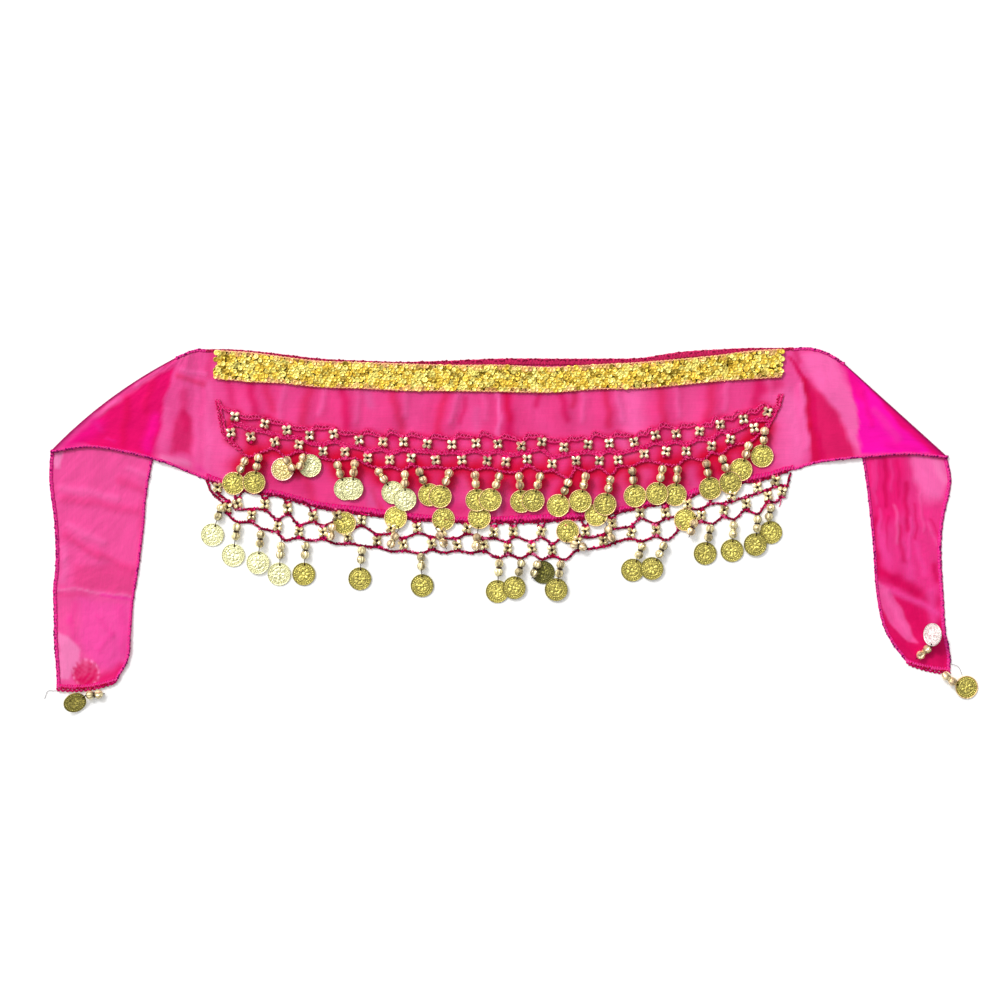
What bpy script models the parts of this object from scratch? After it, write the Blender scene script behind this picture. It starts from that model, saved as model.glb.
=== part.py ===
"""Belly dance hip scarf, laid flat on a surface.

Metres, +Z up. The waist edge faces +Y and the coin hem faces -Y. z = 0 is the surface it lies on,
and the origin is on that surface, under the middle of the body panel. The tables are in millimetres.
"""

import math
from collections import namedtuple

import bmesh
import bpy
import numpy as np
from mathutils import Matrix, Vector

MM = 0.001

# Cloth and lace
WALL = 1.0  # thickness of a cloth or lace wall
GAP = 0.3  # clearance between neighbouring pieces
FOLD_GAP = 1.0  # air between the two layers of a folded tie
COLUMN = 8.0  # spacing of the body's columns along X
BODY_LEFT = -222.0
BODY_RIGHT = 218.0
BAND_LEFT = -214.0
BAND_RIGHT = 210.0
FOLD_STEPS = 4  # facets round a folded edge
TIE_STEPS = 8  # facets across a tie

# Coin drops
COIN_RADIUS = 9.0
COIN_THICK = 0.8
COIN_SIDES = 16
COIN_RISE = 1.2  # how far the thread holds a coin's near rim up
BEAD_RADIUS = 3.0
BEAD_HALF_BELT = 1.3  # half the width of the bead's widest stretch
BEAD_END = BEAD_RADIUS + 0.1  # from a bead's middle to its end
BEAD_PITCH = 6.2
THREAD_RADIUS = 0.5
THREAD_STUB = 0.9  # thread above the first bead
NECK_LOOP = 2.2  # size of the thread's bend where it doubles back to its coin
CHAIN_SIDES = 6
UP = Vector((0.0, 0.0, 1.0))

# Heights of what the pieces lie on
ON_SURFACE = 0.0
ON_CLOTH = WALL + GAP
ON_LACE = 2.0 * (WALL + GAP)

# The body, one row for each section across it: x, then the y of each line that runs along the body.
Section = namedtuple("Section", "x waist band_top band_low lace_top lace_low hem fringe")
SECTIONS = [
    Section(-222.0, 75.5, 75.0, 54.0, 40.0, 36.0, -22.5, -25.0),
    Section(-214.0, 75.5, 75.0, 53.5, 37.0, 33.0, -25.5, -33.0),
    Section(-206.0, 75.5, 74.5, 53.0, 33.0, 10.0, -28.0, -43.0),
    Section(-190.0, 74.5, 73.5, 51.5, 29.5, -0.5, -31.0, -54.0),
    Section(-167.0, 72.0, 70.5, 50.5, 25.0, -4.5, -34.5, -64.5),
    Section(-137.0, 68.5, 67.0, 47.5, 19.5, -9.0, -43.0, -68.0),
    Section(-107.0, 67.0, 66.0, 46.5, 16.0, -12.5, -47.5, -71.0),
    Section(-77.0, 66.0, 65.0, 45.0, 14.0, -15.0, -51.0, -75.0),
    Section(-39.0, 67.0, 64.0, 44.5, 13.5, -16.0, -53.5, -75.5),
    Section(-2.0, 68.5, 64.0, 44.0, 13.0, -16.5, -54.0, -79.0),
    Section(36.0, 68.5, 62.5, 43.5, 13.5, -17.0, -53.0, -79.0),
    Section(73.0, 68.5, 64.5, 46.0, 16.0, -15.5, -49.5, -73.0),
    Section(103.0, 69.0, 66.0, 46.5, 20.0, -10.5, -43.0, -67.0),
    Section(133.0, 73.5, 68.5, 49.0, 22.0, -7.5, -37.5, -61.5),
    Section(163.0, 75.5, 71.5, 52.0, 27.5, -1.5, -27.0, -51.5),
    Section(186.0, 76.5, 74.5, 53.5, 31.5, 5.5, -23.5, -46.5),
    Section(202.0, 76.5, 75.5, 54.5, 37.0, 22.0, -20.0, -37.0),
    Section(210.0, 76.5, 76.0, 55.0, 40.5, 37.0, -17.0, -30.0),
    Section(218.0, 77.0, 76.5, 56.0, 43.5, 39.5, -15.0, -18.0),
]

# Soft gathers that hang from the sequin band: x at the band and at the lace, height, half width.
Gather = namedtuple("Gather", "x_band x_lace height half_width")
GATHERS = [
    Gather(-190.0, -186.0, 1.8, 12.0),
    Gather(-148.0, -152.0, 1.6, 12.0),
    Gather(-118.0, -116.0, 2.0, 13.0),
    Gather(-80.0, -83.0, 1.8, 12.0),
    Gather(-40.0, -42.0, 2.2, 13.0),
    Gather(6.0, 4.0, 1.6, 12.0),
    Gather(44.0, 46.0, 1.8, 12.0),
    Gather(78.0, 80.0, 2.0, 13.0),
    Gather(118.0, 120.0, 2.2, 13.0),
    Gather(157.0, 153.0, 1.8, 12.0),
]
GATHER_MIDDLE = 27.0  # y at which the gathers stand highest
GATHER_REACH = 22.0  # they are flat again this far above and below it

# A tie, one row for each section across the strip from the body to its tip. (x, y) is the section's
# end on the hem side, (x2, y2) its end on the waist side, rest the height of what it lies on, and bow
# how far the section's middle stands out from a straight line. The first tail row is the folded edge.
TieRow = namedtuple("TieRow", "x y x2 y2 rest bow")
Tie = namedtuple("Tie", "name outward strap tail")
OVER_TAIL = WALL + FOLD_GAP
OVER_COIN = COIN_THICK + GAP + 0.2
LEFT_TIE = Tie(
    "left_tie",
    1.0,
    [
        TieRow(-222.3, -22.5, -222.3, 75.5, 0.0, 0.0),
        TieRow(-234.5, -17.5, -228.0, 75.8, 0.0, 0.0),
        TieRow(-253.0, -10.0, -234.5, 74.0, OVER_TAIL, 0.0),
        TieRow(-283.0, -2.0, -238.0, 72.0, OVER_TAIL, 1.5),
        TieRow(-313.0, 2.0, -241.0, 70.5, OVER_TAIL, 3.5),
    ],
    [
        TieRow(-338.5, -2.0, -243.0, 69.0, 0.0, 5.0),
        TieRow(-339.5, -19.0, -246.5, 58.5, 0.0, 3.5),
        TieRow(-338.5, -34.0, -252.0, 39.0, 0.0, 1.5),
        TieRow(-336.5, -49.0, -256.5, 15.0, 0.0, 0.0),
        TieRow(-335.5, -61.5, -262.0, -6.0, 0.0, 0.0),
        TieRow(-335.0, -75.0, -266.5, -30.0, 0.0, 0.0),
        TieRow(-335.5, -91.5, -269.5, -64.0, 0.0, 0.0),
        TieRow(-337.0, -105.0, -273.5, -94.0, 0.0, 0.0),
        TieRow(-336.5, -124.0, -276.5, -112.5, 0.0, 0.0),
        TieRow(-336.0, -146.0, -278.5, -139.0, OVER_COIN, -1.0),
        TieRow(-334.5, -165.0, -280.5, -155.0, OVER_COIN, -3.0),
        TieRow(-334.0, -178.0, -285.5, -166.5, OVER_COIN, -6.5),
    ],
)
RIGHT_TIE = Tie(
    "right_tie",
    -1.0,
    [
        TieRow(218.3, -15.5, 218.3, 76.5, 0.0, 0.0),
        TieRow(234.0, -10.5, 229.0, 77.0, 0.0, 0.0),
        TieRow(249.5, -8.0, 238.0, 75.0, OVER_TAIL, 0.0),
        TieRow(275.5, -5.5, 245.5, 71.5, OVER_TAIL, 0.5),
        TieRow(305.5, -3.5, 251.5, 67.5, OVER_TAIL, 0.5),
    ],
    [
        TieRow(333.0, -6.0, 254.5, 65.0, 0.0, 0.0),
        TieRow(336.0, -21.0, 260.5, 52.5, 0.0, 0.0),
        TieRow(335.0, -32.5, 265.0, 28.5, 0.0, 0.0),
        TieRow(332.5, -43.5, 269.0, 0.0, 0.0, 0.0),
        TieRow(330.5, -54.0, 272.5, -22.5, 0.0, 0.0),
        TieRow(329.0, -71.0, 275.5, -49.0, 0.0, 0.0),
        TieRow(329.5, -90.0, 278.0, -75.0, 0.0, 0.0),
        TieRow(331.0, -112.5, 280.0, -105.0, 0.0, 0.0),
        TieRow(332.5, -136.5, 286.0, -133.5, 0.0, 0.0),
        TieRow(336.0, -157.0, 296.0, -150.0, 0.0, 0.0),
        TieRow(335.5, -166.5, 304.0, -159.5, 0.0, -1.5),
    ],
)

# A coin drop, one row each: (x, y) is the first bead, turn the bearing of the beads from -Y towards
# +X in degrees, lift the height over its neighbours, swing the coin's own turn about its hole, and
# roll its lean about the thread.
Drop = namedtuple("Drop", "x y turn lift swing roll", defaults=(0.0, 0.0, 0.0))
DropRow = namedtuple("DropRow", "name neck beads_on coin_on beads drops")
UPPER_DROPS = [
    Drop(-193.0, -8.5, -27),
    Drop(-182.5, -6.0, -11, 1.3),
    Drop(-161.0, -8.0, 30, 1.3, -133),
    Drop(-149.0, -6.0, -20, 1.3, 132),
    Drop(-123.5, -11.5, 18),
    Drop(-110.5, -10.5, -7, 1.3),
    Drop(-92.5, -16.5, 34),
    Drop(-73.0, -18.5, 0, 1.3),
    Drop(-62.0, -16.5, 23),
    Drop(-40.0, -17.5, -21, 1.3),
    Drop(-20.5, -19.0, 4, 2.4),
    Drop(-2.5, -20.0, -21, 3.7),
    Drop(12.5, -20.0, 5),
    Drop(28.0, -20.0, -16, 1.3),
    Drop(49.0, -24.5, -23),
    Drop(62.0, -20.0, -12, 2.4),
    Drop(80.5, -22.5, -12, 2.4),
    Drop(97.0, -16.0, 7),
    Drop(119.5, -14.5, -12, 1.3),
    Drop(131.0, -15.0, -5),
    Drop(152.5, -10.5, 10),
    Drop(164.5, -7.0, 19, 1.3),
    Drop(184.0, 3.0, -17),
    Drop(196.0, 14.0, -5),
]
LEFT_HEM_DROPS = [
    Drop(-211.0, -43.5, -18),
    Drop(-199.0, -58.0, -8),
    Drop(-181.0, -63.5, -6, 1.3),
    Drop(-166.0, -72.0, -4),
    Drop(-147.5, -72.0, -4),
    Drop(-105.5, -75.5, -4),
    Drop(-61.0, -80.5, 2),
    Drop(-2.5, -85.0, -4),
]
RIGHT_HEM_DROPS = [
    Drop(14.0, -85.0, -16, 1.3),
    Drop(26.0, -86.0, -20, 0.0, 135),
    Drop(43.5, -86.0, -10, 1.3),
    Drop(104.5, -72.5, -22),
    Drop(120.5, -72.0, -27, 1.3),
    Drop(155.5, -59.0, -11),
    Drop(173.0, -56.5, -3),
    Drop(191.0, -52.0, -5, 1.3),
    Drop(201.0, -43.5, -13, 0.0, 28),
]
FLIPPED_DROPS = [
    Drop(-128.5, -64.5, 172, 0.0, -101),
    Drop(-83.5, -70.5, 153, 0.0, 42),
    Drop(-44.0, -70.0, -153, 0.0, -65),
    Drop(-20.0, -72.0, 173),
    Drop(60.0, -72.5, -103, 0.0, -84),
    Drop(81.5, -66.0, -159, 0.0, 30),
    Drop(141.0, -61.0, 160, 0.0, 131),
]
DROP_ROWS = [
    DropRow("upper_drop", 0.5, ON_LACE, ON_CLOTH, 2, UPPER_DROPS),
    DropRow("left_hem_drop", 3.0, ON_SURFACE, ON_SURFACE, 2, LEFT_HEM_DROPS),
    DropRow("right_hem_drop", 0.8, ON_SURFACE, ON_SURFACE, 2, RIGHT_HEM_DROPS),
    DropRow("flipped_drop", 3.3, ON_CLOTH, ON_CLOTH, 2, FLIPPED_DROPS),
    DropRow("left_tie_drop", 0.8, ON_SURFACE, ON_SURFACE, 2, [Drop(-302.5, -183.0, -85, 0.0, 30, 38)]),
    DropRow("left_tie_coin", 0.5, ON_SURFACE, ON_SURFACE, 0, [Drop(-308.5, -178.5, -168)]),
    DropRow("right_tie_drop", 0.8, ON_CLOTH, ON_CLOTH, 2, [Drop(313.0, -153.5, 131, 0.0, 46, 50)]),
    DropRow("right_end_drop", 0.5, ON_CLOTH, ON_SURFACE, 2, [Drop(332.0, -169.0, 49, 0.0, 25)]),
]

# Finishes: base colour, roughness, metallic
Finish = namedtuple("Finish", "name colour roughness metallic")
CHIFFON = Finish("pink_chiffon", (0.76, 0.02, 0.20), 0.65, 0.0)
CROCHET = Finish("pink_crochet", (0.48, 0.01, 0.10), 0.8, 0.0)
SEQUINS = Finish("gold_sequins", (0.78, 0.56, 0.08), 0.25, 1.0)
COIN_GOLD = Finish("coin_gold", (0.62, 0.50, 0.16), 0.3, 1.0)


def finish_material(finish):
    """The finish as a Principled material, made once."""
    material = bpy.data.materials.get(finish.name)
    if material is None:
        material = bpy.data.materials.new(finish.name)
        material.use_nodes = True
        shader = material.node_tree.nodes["Principled BSDF"]
        shader.inputs["Base Color"].default_value = (*finish.colour, 1.0)
        shader.inputs["Roughness"].default_value = finish.roughness
        shader.inputs["Metallic"].default_value = finish.metallic
        material.diffuse_color = (*finish.colour, 1.0)
    return material


def add_piece(name, points, faces, finish, parent, sharp_degrees=30):
    """A closed mesh object from points in millimetres."""
    mesh = bpy.data.meshes.new(name)
    bm = bmesh.new()
    corners = [bm.verts.new(Vector(point) * MM) for point in points]
    for face in faces:
        bm.faces.new([corners[index] for index in face])
    bmesh.ops.recalc_face_normals(bm, faces=bm.faces)
    bm.to_mesh(mesh)
    bm.free()
    mesh.shade_smooth()
    mesh.set_sharp_from_angle(angle=math.radians(sharp_degrees))
    mesh.materials.append(finish_material(finish))
    piece = bpy.data.objects.new(name, mesh)
    piece.parent = parent
    bpy.context.scene.collection.objects.link(piece)
    return piece


def add_wall(name, under, over, finish, parent):
    """A wall between two grids of points, under and over, each a list of rows of equal length."""
    row_count = len(under)
    point_count = len(under[0])
    grid_size = row_count * point_count
    points = [point for grid in (under, over) for row in grid for point in row]
    faces = []
    for row in range(row_count - 1):
        for column in range(point_count - 1):
            first = row * point_count + column
            opposite = first + point_count + 1
            for corner in ((first, first + 1, opposite), (first, opposite, first + point_count)):
                faces.append(corner)
                faces.append(tuple(grid_size + index for index in reversed(corner)))
    rim = list(range(point_count))
    rim += [row * point_count + point_count - 1 for row in range(1, row_count)]
    rim += [grid_size - 1 - column for column in range(1, point_count)]
    rim += [row * point_count for row in range(row_count - 2, 0, -1)]
    for index, here in enumerate(rim):
        after = rim[(index + 1) % len(rim)]
        faces.append((here, here + grid_size, after + grid_size, after))
    return add_piece(name, points, faces, finish, parent)


def section_line(column, x):
    """The y of one of the body's lines at x, on a smooth curve through the sections."""
    stations = np.array([section.x for section in SECTIONS])
    heights = np.array([getattr(section, column) for section in SECTIONS])
    slopes = np.gradient(heights, stations)
    index = int(np.clip(np.searchsorted(stations, x) - 1, 0, len(stations) - 2))
    span = stations[index + 1] - stations[index]
    t = (x - stations[index]) / span
    from_start = (1 + 2 * t) * (1 - t) ** 2 * heights[index] + t * (1 - t) ** 2 * span * slopes[index]
    from_end = (3 - 2 * t) * t**2 * heights[index + 1] - (1 - t) * t**2 * span * slopes[index + 1]
    return float(from_start + from_end)


def soft_bump(distance, reach):
    """1 at no distance, 0 from reach on, with no corner between."""
    if abs(distance) >= reach:
        return 0.0
    return math.cos(math.pi / 2 * distance / reach) ** 2


def gather_height(x, y):
    """How far the gathers lift the body off the surface."""
    along = soft_bump(y - GATHER_MIDDLE, GATHER_REACH)
    t = min(max((GATHER_MIDDLE + GATHER_REACH - y) / (2 * GATHER_REACH), 0.0), 1.0)
    total = 0.0
    for gather in GATHERS:
        middle = gather.x_band + t * (gather.x_lace - gather.x_band)
        total += gather.height * along * soft_bump(x - middle, gather.half_width)
    return total


def body_columns(left, right):
    count = round((right - left) / COLUMN)
    return [left + COLUMN * index for index in range(count + 1)]


def body_grid(x_columns, lines, rest):
    """The body's points along the given lines, lifted by the gathers and standing on rest.

    A line is a pair of section columns and how far the line lies from the first to the second.
    """
    grid = []
    for first, second, share in lines:
        row = []
        for x in x_columns:
            start = section_line(first, x)
            y = start + share * (section_line(second, x) - start)
            row.append((x, y, rest + gather_height(x, y)))
        grid.append(row)
    return grid


def raised(grid, height):
    return [[(x, y, z + height) for x, y, z in row] for row in grid]


def add_body_wall(name, x_columns, lines, rest, finish, parent):
    under = body_grid(x_columns, lines, rest)
    return add_wall(name, under, raised(under, WALL), finish, parent)


def add_body(parent):
    """The panel, and what is sewn on it, made from the panel's own points."""
    band = [("band_top", "band_top", 0.0), ("band_low", "band_low", 0.0)]
    lace = [("lace_top", "lace_top", 0.0), ("lace_top", "lace_low", 0.5), ("lace_low", "lace_low", 0.0)]
    panel = [("waist", "waist", 0.0)] + band + [("band_low", "lace_top", 0.5)]
    panel += lace + [("lace_low", "hem", 0.5), ("hem", "hem", 0.0)]
    whole = body_columns(BODY_LEFT, BODY_RIGHT)
    trimmed = body_columns(BAND_LEFT, BAND_RIGHT)
    add_body_wall("body_panel", whole, panel, 0.0, CHIFFON, parent)
    add_body_wall("sequin_band", trimmed, band, ON_CLOTH, SEQUINS, parent)
    add_body_wall("upper_lace", trimmed, lace, ON_CLOTH, CROCHET, parent)


def add_hem_lace(parent):
    """The lace that hangs from the hem and lies on the surface."""
    under = []
    for share in (0.0, 0.5, 1.0):
        row = []
        for x in body_columns(BODY_LEFT, BODY_RIGHT):
            top = section_line("hem", x) - GAP
            row.append((x, top + share * (section_line("fringe", x) - top), 0.0))
        under.append(row)
    add_wall("hem_lace", under, raised(under, WALL), CROCHET, parent)


def tie_section(row, outward, offset, middle_height):
    """The middle surface's points across a tie, pushed outward from the section by offset."""
    hem_end = Vector((row.x, row.y, 0.0))
    waist_end = Vector((row.x2, row.y2, 0.0))
    across = waist_end - hem_end
    out = Vector((-across.y, across.x, 0.0)).normalized() * outward
    points = []
    for step in range(TIE_STEPS + 1):
        t = step / TIE_STEPS
        push = offset + row.bow * 4 * t * (1 - t)
        points.append(hem_end + across * t + out * push + Vector((0.0, 0.0, middle_height)))
    return points


def add_tie(tie, parent):
    """A strap that leaves the body, folds back under itself and becomes the tail."""
    half_wall = WALL / 2
    fold_radius = (WALL + FOLD_GAP) / 2
    middle = [tie_section(row, tie.outward, 0.0, row.rest + half_wall) for row in tie.strap]
    for step in range(FOLD_STEPS + 1):
        angle = math.pi * step / FOLD_STEPS
        height = half_wall + fold_radius * (1 + math.cos(angle))
        middle.append(tie_section(tie.tail[0], tie.outward, fold_radius * math.sin(angle), height))
    middle += [tie_section(row, tie.outward, 0.0, row.rest + half_wall) for row in tie.tail[1:]]
    lower = []
    upper = []
    last_row = len(middle) - 1
    for index, row in enumerate(middle):
        normals = []
        for step in range(TIE_STEPS + 1):
            along = middle[min(index + 1, last_row)][step] - middle[max(index - 1, 0)][step]
            across = row[min(step + 1, TIE_STEPS)] - row[max(step - 1, 0)]
            normals.append(across.cross(along).normalized() * half_wall * tie.outward)
        lower.append([point - normal for point, normal in zip(row, normals)])
        upper.append([point + normal for point, normal in zip(row, normals)])
    return add_wall(tie.name, lower, upper, CHIFFON, parent)


def bearing(degrees):
    """A unit vector that starts at -Y and turns towards +X."""
    return Vector((math.sin(math.radians(degrees)), -math.cos(math.radians(degrees)), 0.0))


def ring(centre, along, up, radius):
    """CHAIN_SIDES points round a centre, the first of them straight up."""
    side = along.cross(up).normalized()
    rise = side.cross(along).normalized()
    points = []
    for index in range(CHAIN_SIDES):
        angle = 2 * math.pi * index / CHAIN_SIDES
        points.append(centre + (rise * math.cos(angle) + side * math.sin(angle)) * radius)
    return points


def bead_rings(start, along, count):
    """The rings of the thread and its beads, and the point where the last bead ends."""
    stub = BEAD_RADIUS + THREAD_STUB if count else 0.0
    rings = [ring(start - along * stub, along, UP, THREAD_RADIUS)]
    for index in range(count):
        middle = start + along * BEAD_PITCH * index
        for place in (-BEAD_HALF_BELT, BEAD_HALF_BELT):
            rings.append(ring(middle + along * place, along, UP, BEAD_RADIUS))
        rings.append(ring(middle + along * BEAD_END, along, UP, THREAD_RADIUS))
    return rings, start + along * (BEAD_PITCH * max(count - 1, 0) + BEAD_END)


def neck_rings(start, along, finish, into_coin):
    """The thread's rings on a smooth bend from the last bead into the coin's rim."""
    doubles_back = along.dot(into_coin) < 0.4
    reach = NECK_LOOP if doubles_back else max(0.45 * (finish - start).length, 0.6)
    steps = 5 if doubles_back else 2
    points = [start, start + along * reach, finish - into_coin * reach, finish]
    rings = []
    up = UP
    tangent = along
    for step in range(1, steps):
        t = step / steps
        weights = ((1 - t) ** 3, 3 * t * (1 - t) ** 2, 3 * t**2 * (1 - t), t**3)
        slopes = (-3 * (1 - t) ** 2, 3 * (1 - t) * (1 - 3 * t), 3 * t * (2 - 3 * t), 3 * t**2)
        place = sum((point * weight for point, weight in zip(points, weights)), Vector())
        heading = sum((point * slope for point, slope in zip(points, slopes)), Vector()).normalized()
        up = tangent.rotation_difference(heading) @ up
        tangent = heading
        rings.append(ring(place, heading, up, THREAD_RADIUS))
    return rings


def coin_frame(drop, row, hole, coin_rest):
    """The coin's own axes: X towards its hole, Z out of its upper face."""
    swings = abs(drop.swing) > 60 or row.beads == 0
    pitch = 0.0 if swings or drop.roll else math.asin(COIN_RISE / (2 * COIN_RADIUS))
    roll = math.radians(drop.roll)
    outward = bearing(drop.turn + drop.swing)
    centre = hole + outward * COIN_RADIUS * math.cos(math.pi / COIN_SIDES) * math.cos(pitch)
    centre.z = coin_rest + COIN_THICK / 2 + COIN_RADIUS * (math.sin(pitch) + abs(math.sin(roll)))
    heading = Matrix.Rotation(math.atan2(-outward.y, -outward.x), 4, "Z")
    lean = Matrix.Rotation(-pitch, 4, "Y") @ Matrix.Rotation(roll, 4, "X")
    return Matrix.Translation(centre) @ heading @ lean


def coin_rims(frame):
    """The coin's lower and upper rims. Each starts in the middle of the side that faces the thread."""
    half = math.pi / COIN_SIDES
    rims = []
    for height in (-COIN_THICK / 2, COIN_THICK / 2):
        rim = [frame @ Vector((COIN_RADIUS * math.cos(half), 0.0, height))]
        for index in range(COIN_SIDES):
            angle = half + 2 * half * index
            across = COIN_RADIUS * math.sin(angle)
            rim.append(frame @ Vector((COIN_RADIUS * math.cos(angle), across, height)))
        rims.append(rim)
    return rims


def matched_loop(loop, points, target):
    """The loop, started at the point that brings it closest to the target ring."""
    starts = [loop[first:] + loop[:first] for first in range(len(loop))]

    def spread(order):
        return sum((points[index] - point).length for index, point in zip(order, target))

    return min(starts, key=spread)


def add_drop(name, drop, row, parent):
    """A coin with its beads on a thread, as one closed body."""
    along = bearing(drop.turn)
    coin_rest = row.coin_on + drop.lift
    bead_rest = row.beads_on + drop.lift
    if abs(drop.swing) > 90:
        bead_rest = max(bead_rest, coin_rest + COIN_THICK + GAP)
    height = bead_rest + BEAD_RADIUS if row.beads else coin_rest + COIN_THICK
    rings, bead_end = bead_rings(Vector((drop.x, drop.y, height)), along, row.beads)
    frame = coin_frame(drop, row, bead_end + along * row.neck, coin_rest)
    lower, upper = coin_rims(frame)
    into_coin = (frame.to_3x3() @ Vector((-1.0, 0.0, 0.0))).normalized()
    rings += neck_rings(bead_end, along, (upper[0] + lower[0]) / 2, into_coin)

    points = [point for one_ring in rings for point in one_ring]
    low = [len(points) + index for index in range(COIN_SIDES + 1)]
    high = [index + COIN_SIDES + 1 for index in low]
    loops = [list(range(first, first + CHAIN_SIDES)) for first in range(0, len(points), CHAIN_SIDES)]
    points += lower + upper
    mouth = [high[0], high[1], low[1], low[0], low[-1], high[-1]]
    loops.append(matched_loop(mouth, points, rings[-1]))
    faces = [tuple(loops[0]), tuple(low), tuple(high)]
    faces += [(low[i], low[i + 1], high[i + 1], high[i]) for i in range(1, COIN_SIDES)]
    for here, after in zip(loops, loops[1:]):
        for i in range(CHAIN_SIDES):
            j = (i + 1) % CHAIN_SIDES
            faces.append((here[i], here[j], after[j], after[i]))
    return add_piece(name, points, faces, COIN_GOLD, parent, 40)


def main():
    for old in list(bpy.data.objects):
        bpy.data.objects.remove(old, do_unlink=True)
    scarf = bpy.data.objects.new("hip_scarf", None)
    bpy.context.scene.collection.objects.link(scarf)
    add_body(scarf)
    add_hem_lace(scarf)
    for tie in (LEFT_TIE, RIGHT_TIE):
        add_tie(tie, scarf)
    for row in DROP_ROWS:
        for index, drop in enumerate(row.drops, start=1):
            name = row.name if len(row.drops) == 1 else f"{row.name}_{index:02d}"
            add_drop(name, drop, row, scarf)


main()
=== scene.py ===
"""Looks of the belly dance hip scarf: chiffon with folds, overlocked hems, sequins,
crochet lace with bead flowers, and struck coins on beaded threads.

Lengths are in millimetres, in the CAD's frame: +Z up, the waist towards +Y.
"""

import math
from collections import namedtuple

import bpy
import numpy as np
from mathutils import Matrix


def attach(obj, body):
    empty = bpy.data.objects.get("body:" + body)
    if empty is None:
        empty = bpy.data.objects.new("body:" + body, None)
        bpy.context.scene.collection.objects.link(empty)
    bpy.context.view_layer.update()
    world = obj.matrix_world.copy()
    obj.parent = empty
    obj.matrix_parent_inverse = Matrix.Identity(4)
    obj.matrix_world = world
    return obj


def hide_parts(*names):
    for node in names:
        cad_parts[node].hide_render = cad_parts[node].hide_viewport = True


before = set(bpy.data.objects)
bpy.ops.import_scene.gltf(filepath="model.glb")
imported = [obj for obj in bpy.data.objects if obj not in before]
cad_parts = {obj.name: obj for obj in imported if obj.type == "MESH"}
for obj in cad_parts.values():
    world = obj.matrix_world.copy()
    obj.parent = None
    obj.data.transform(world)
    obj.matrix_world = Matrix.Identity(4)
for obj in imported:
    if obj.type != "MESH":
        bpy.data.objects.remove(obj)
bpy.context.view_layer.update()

MM = 0.001
UP = np.array([0.0, 0.0, 1.0])
LIGHT_LEVEL = 0.98  # how bright a white surface facing up comes out
SEED = 11
STRAND_SIDES = 4  # sides of each strand of a crochet chain

# Heights, the same as in the solids
CLOTH_MIDDLE = 0.5
STRAP_REST = 2.0
ON_CLOTH = 1.3
COIN_RADIUS = 9.0
BEAD_RADIUS = 3.0

# Colours, as 0 to 255 display values
SHADES = {
    # The cloth's pinks. In the fold tables the lighter ones also serve as painted highlight on raised folds,
    # the deeper ones as painted shade in troughs and painted shadow beside the lace.
    "rose": (230, 50, 130),
    "soft": (239, 72, 152),
    "light": (248, 98, 174),
    "pale": (246, 128, 188),
    "lilac": (220, 80, 152),
    "deep": (210, 2, 86),
    "crimson": (204, 0, 48),
    "wine": (214, 16, 92),
    "doubled": (228, 0, 102),
    "doubled_pink": (242, 4, 138),
    "magenta": (248, 4, 168),
    "hot_rose": (234, 34, 130),
    "hot_soft": (240, 66, 160),
    "fold_edge": (138, 8, 78),
    "hem": (238, 30, 144),
    "hem_hot": (224, 6, 116),
    "hem_light": (246, 80, 164),
    "hem_dark": (150, 0, 58),
    "waist": (208, 42, 98),
    "waist_dark": (150, 18, 62),
    "stitch": (130, 0, 92),
    "yarn_pink": (234, 22, 112),
    "yarn_light": (250, 80, 150),
    "yarn_red": (176, 4, 54),
    "yarn_dark": (100, 2, 36),
    "yarn_plum": (146, 12, 74),
    "yarn_fuzz": (240, 110, 160),
    # Sequin golds: the lightest stands for painted glints, the darkest for painted shade, on the sequins and
    # on the tape between them.
    "gold": (244, 204, 68),
    "gold_glint": (255, 236, 120),
    "gold_shaded": (160, 132, 26),
    "peach": (255, 184, 136),
    "coin": (224, 208, 104),
    # coin_pale, coin_white and coin_warm are painted reflections, brighter and warmer than the plain coin;
    # coin_dark is painted shade.
    "coin_pale": (254, 250, 190),
    "coin_white": (255, 244, 238),
    "coin_warm": (252, 226, 150),
    "coin_dark": (120, 116, 50),
    # For the drops' beads, bead (on the pink cloth) is pinker than bead_pale (over the white floor): a
    # painted reflection of the cloth.
    "bead": (255, 222, 174),
    "bead_pale": (246, 226, 172),
    "bead_cream": (255, 224, 186),
    "thread": (52, 26, 24),
}

# Shades of doubled or deeply folded cloth, and of the painted shade and shadow on it, which hide what lies
# under them, and how much the rest hides.
DENSE = {"deep", "crimson", "wine", "doubled", "doubled_pink", "magenta", "fold_edge"}
SHEER = 0.92


def linear(shade):
    """A shade's linear colour, for a surface lit at LIGHT_LEVEL."""
    values = np.array(SHADES[shade]) / 255.0
    values = np.where(values <= 0.04045, values / 12.92, ((values + 0.055) / 1.055) ** 2.4)
    return values / LIGHT_LEVEL


def cloth_shade(shade):
    """A shade's linear colour and how much cloth of that shade hides."""
    return np.array([*linear(shade), 1.0 if shade in DENSE else SHEER])


# ---- Tables ----

# A fold or soft zone of the cloth: a streak from (x, y) to (x2, y2), its half width, how far it
# lifts the cloth at its middle, and the shade it turns the cloth to. Lighter shades on raised folds are
# painted highlight, deeper ones in troughs and creases painted shade, and the doubled shades doubled cloth.
Fold = namedtuple("Fold", "x y x2 y2 reach height shade strength")

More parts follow.
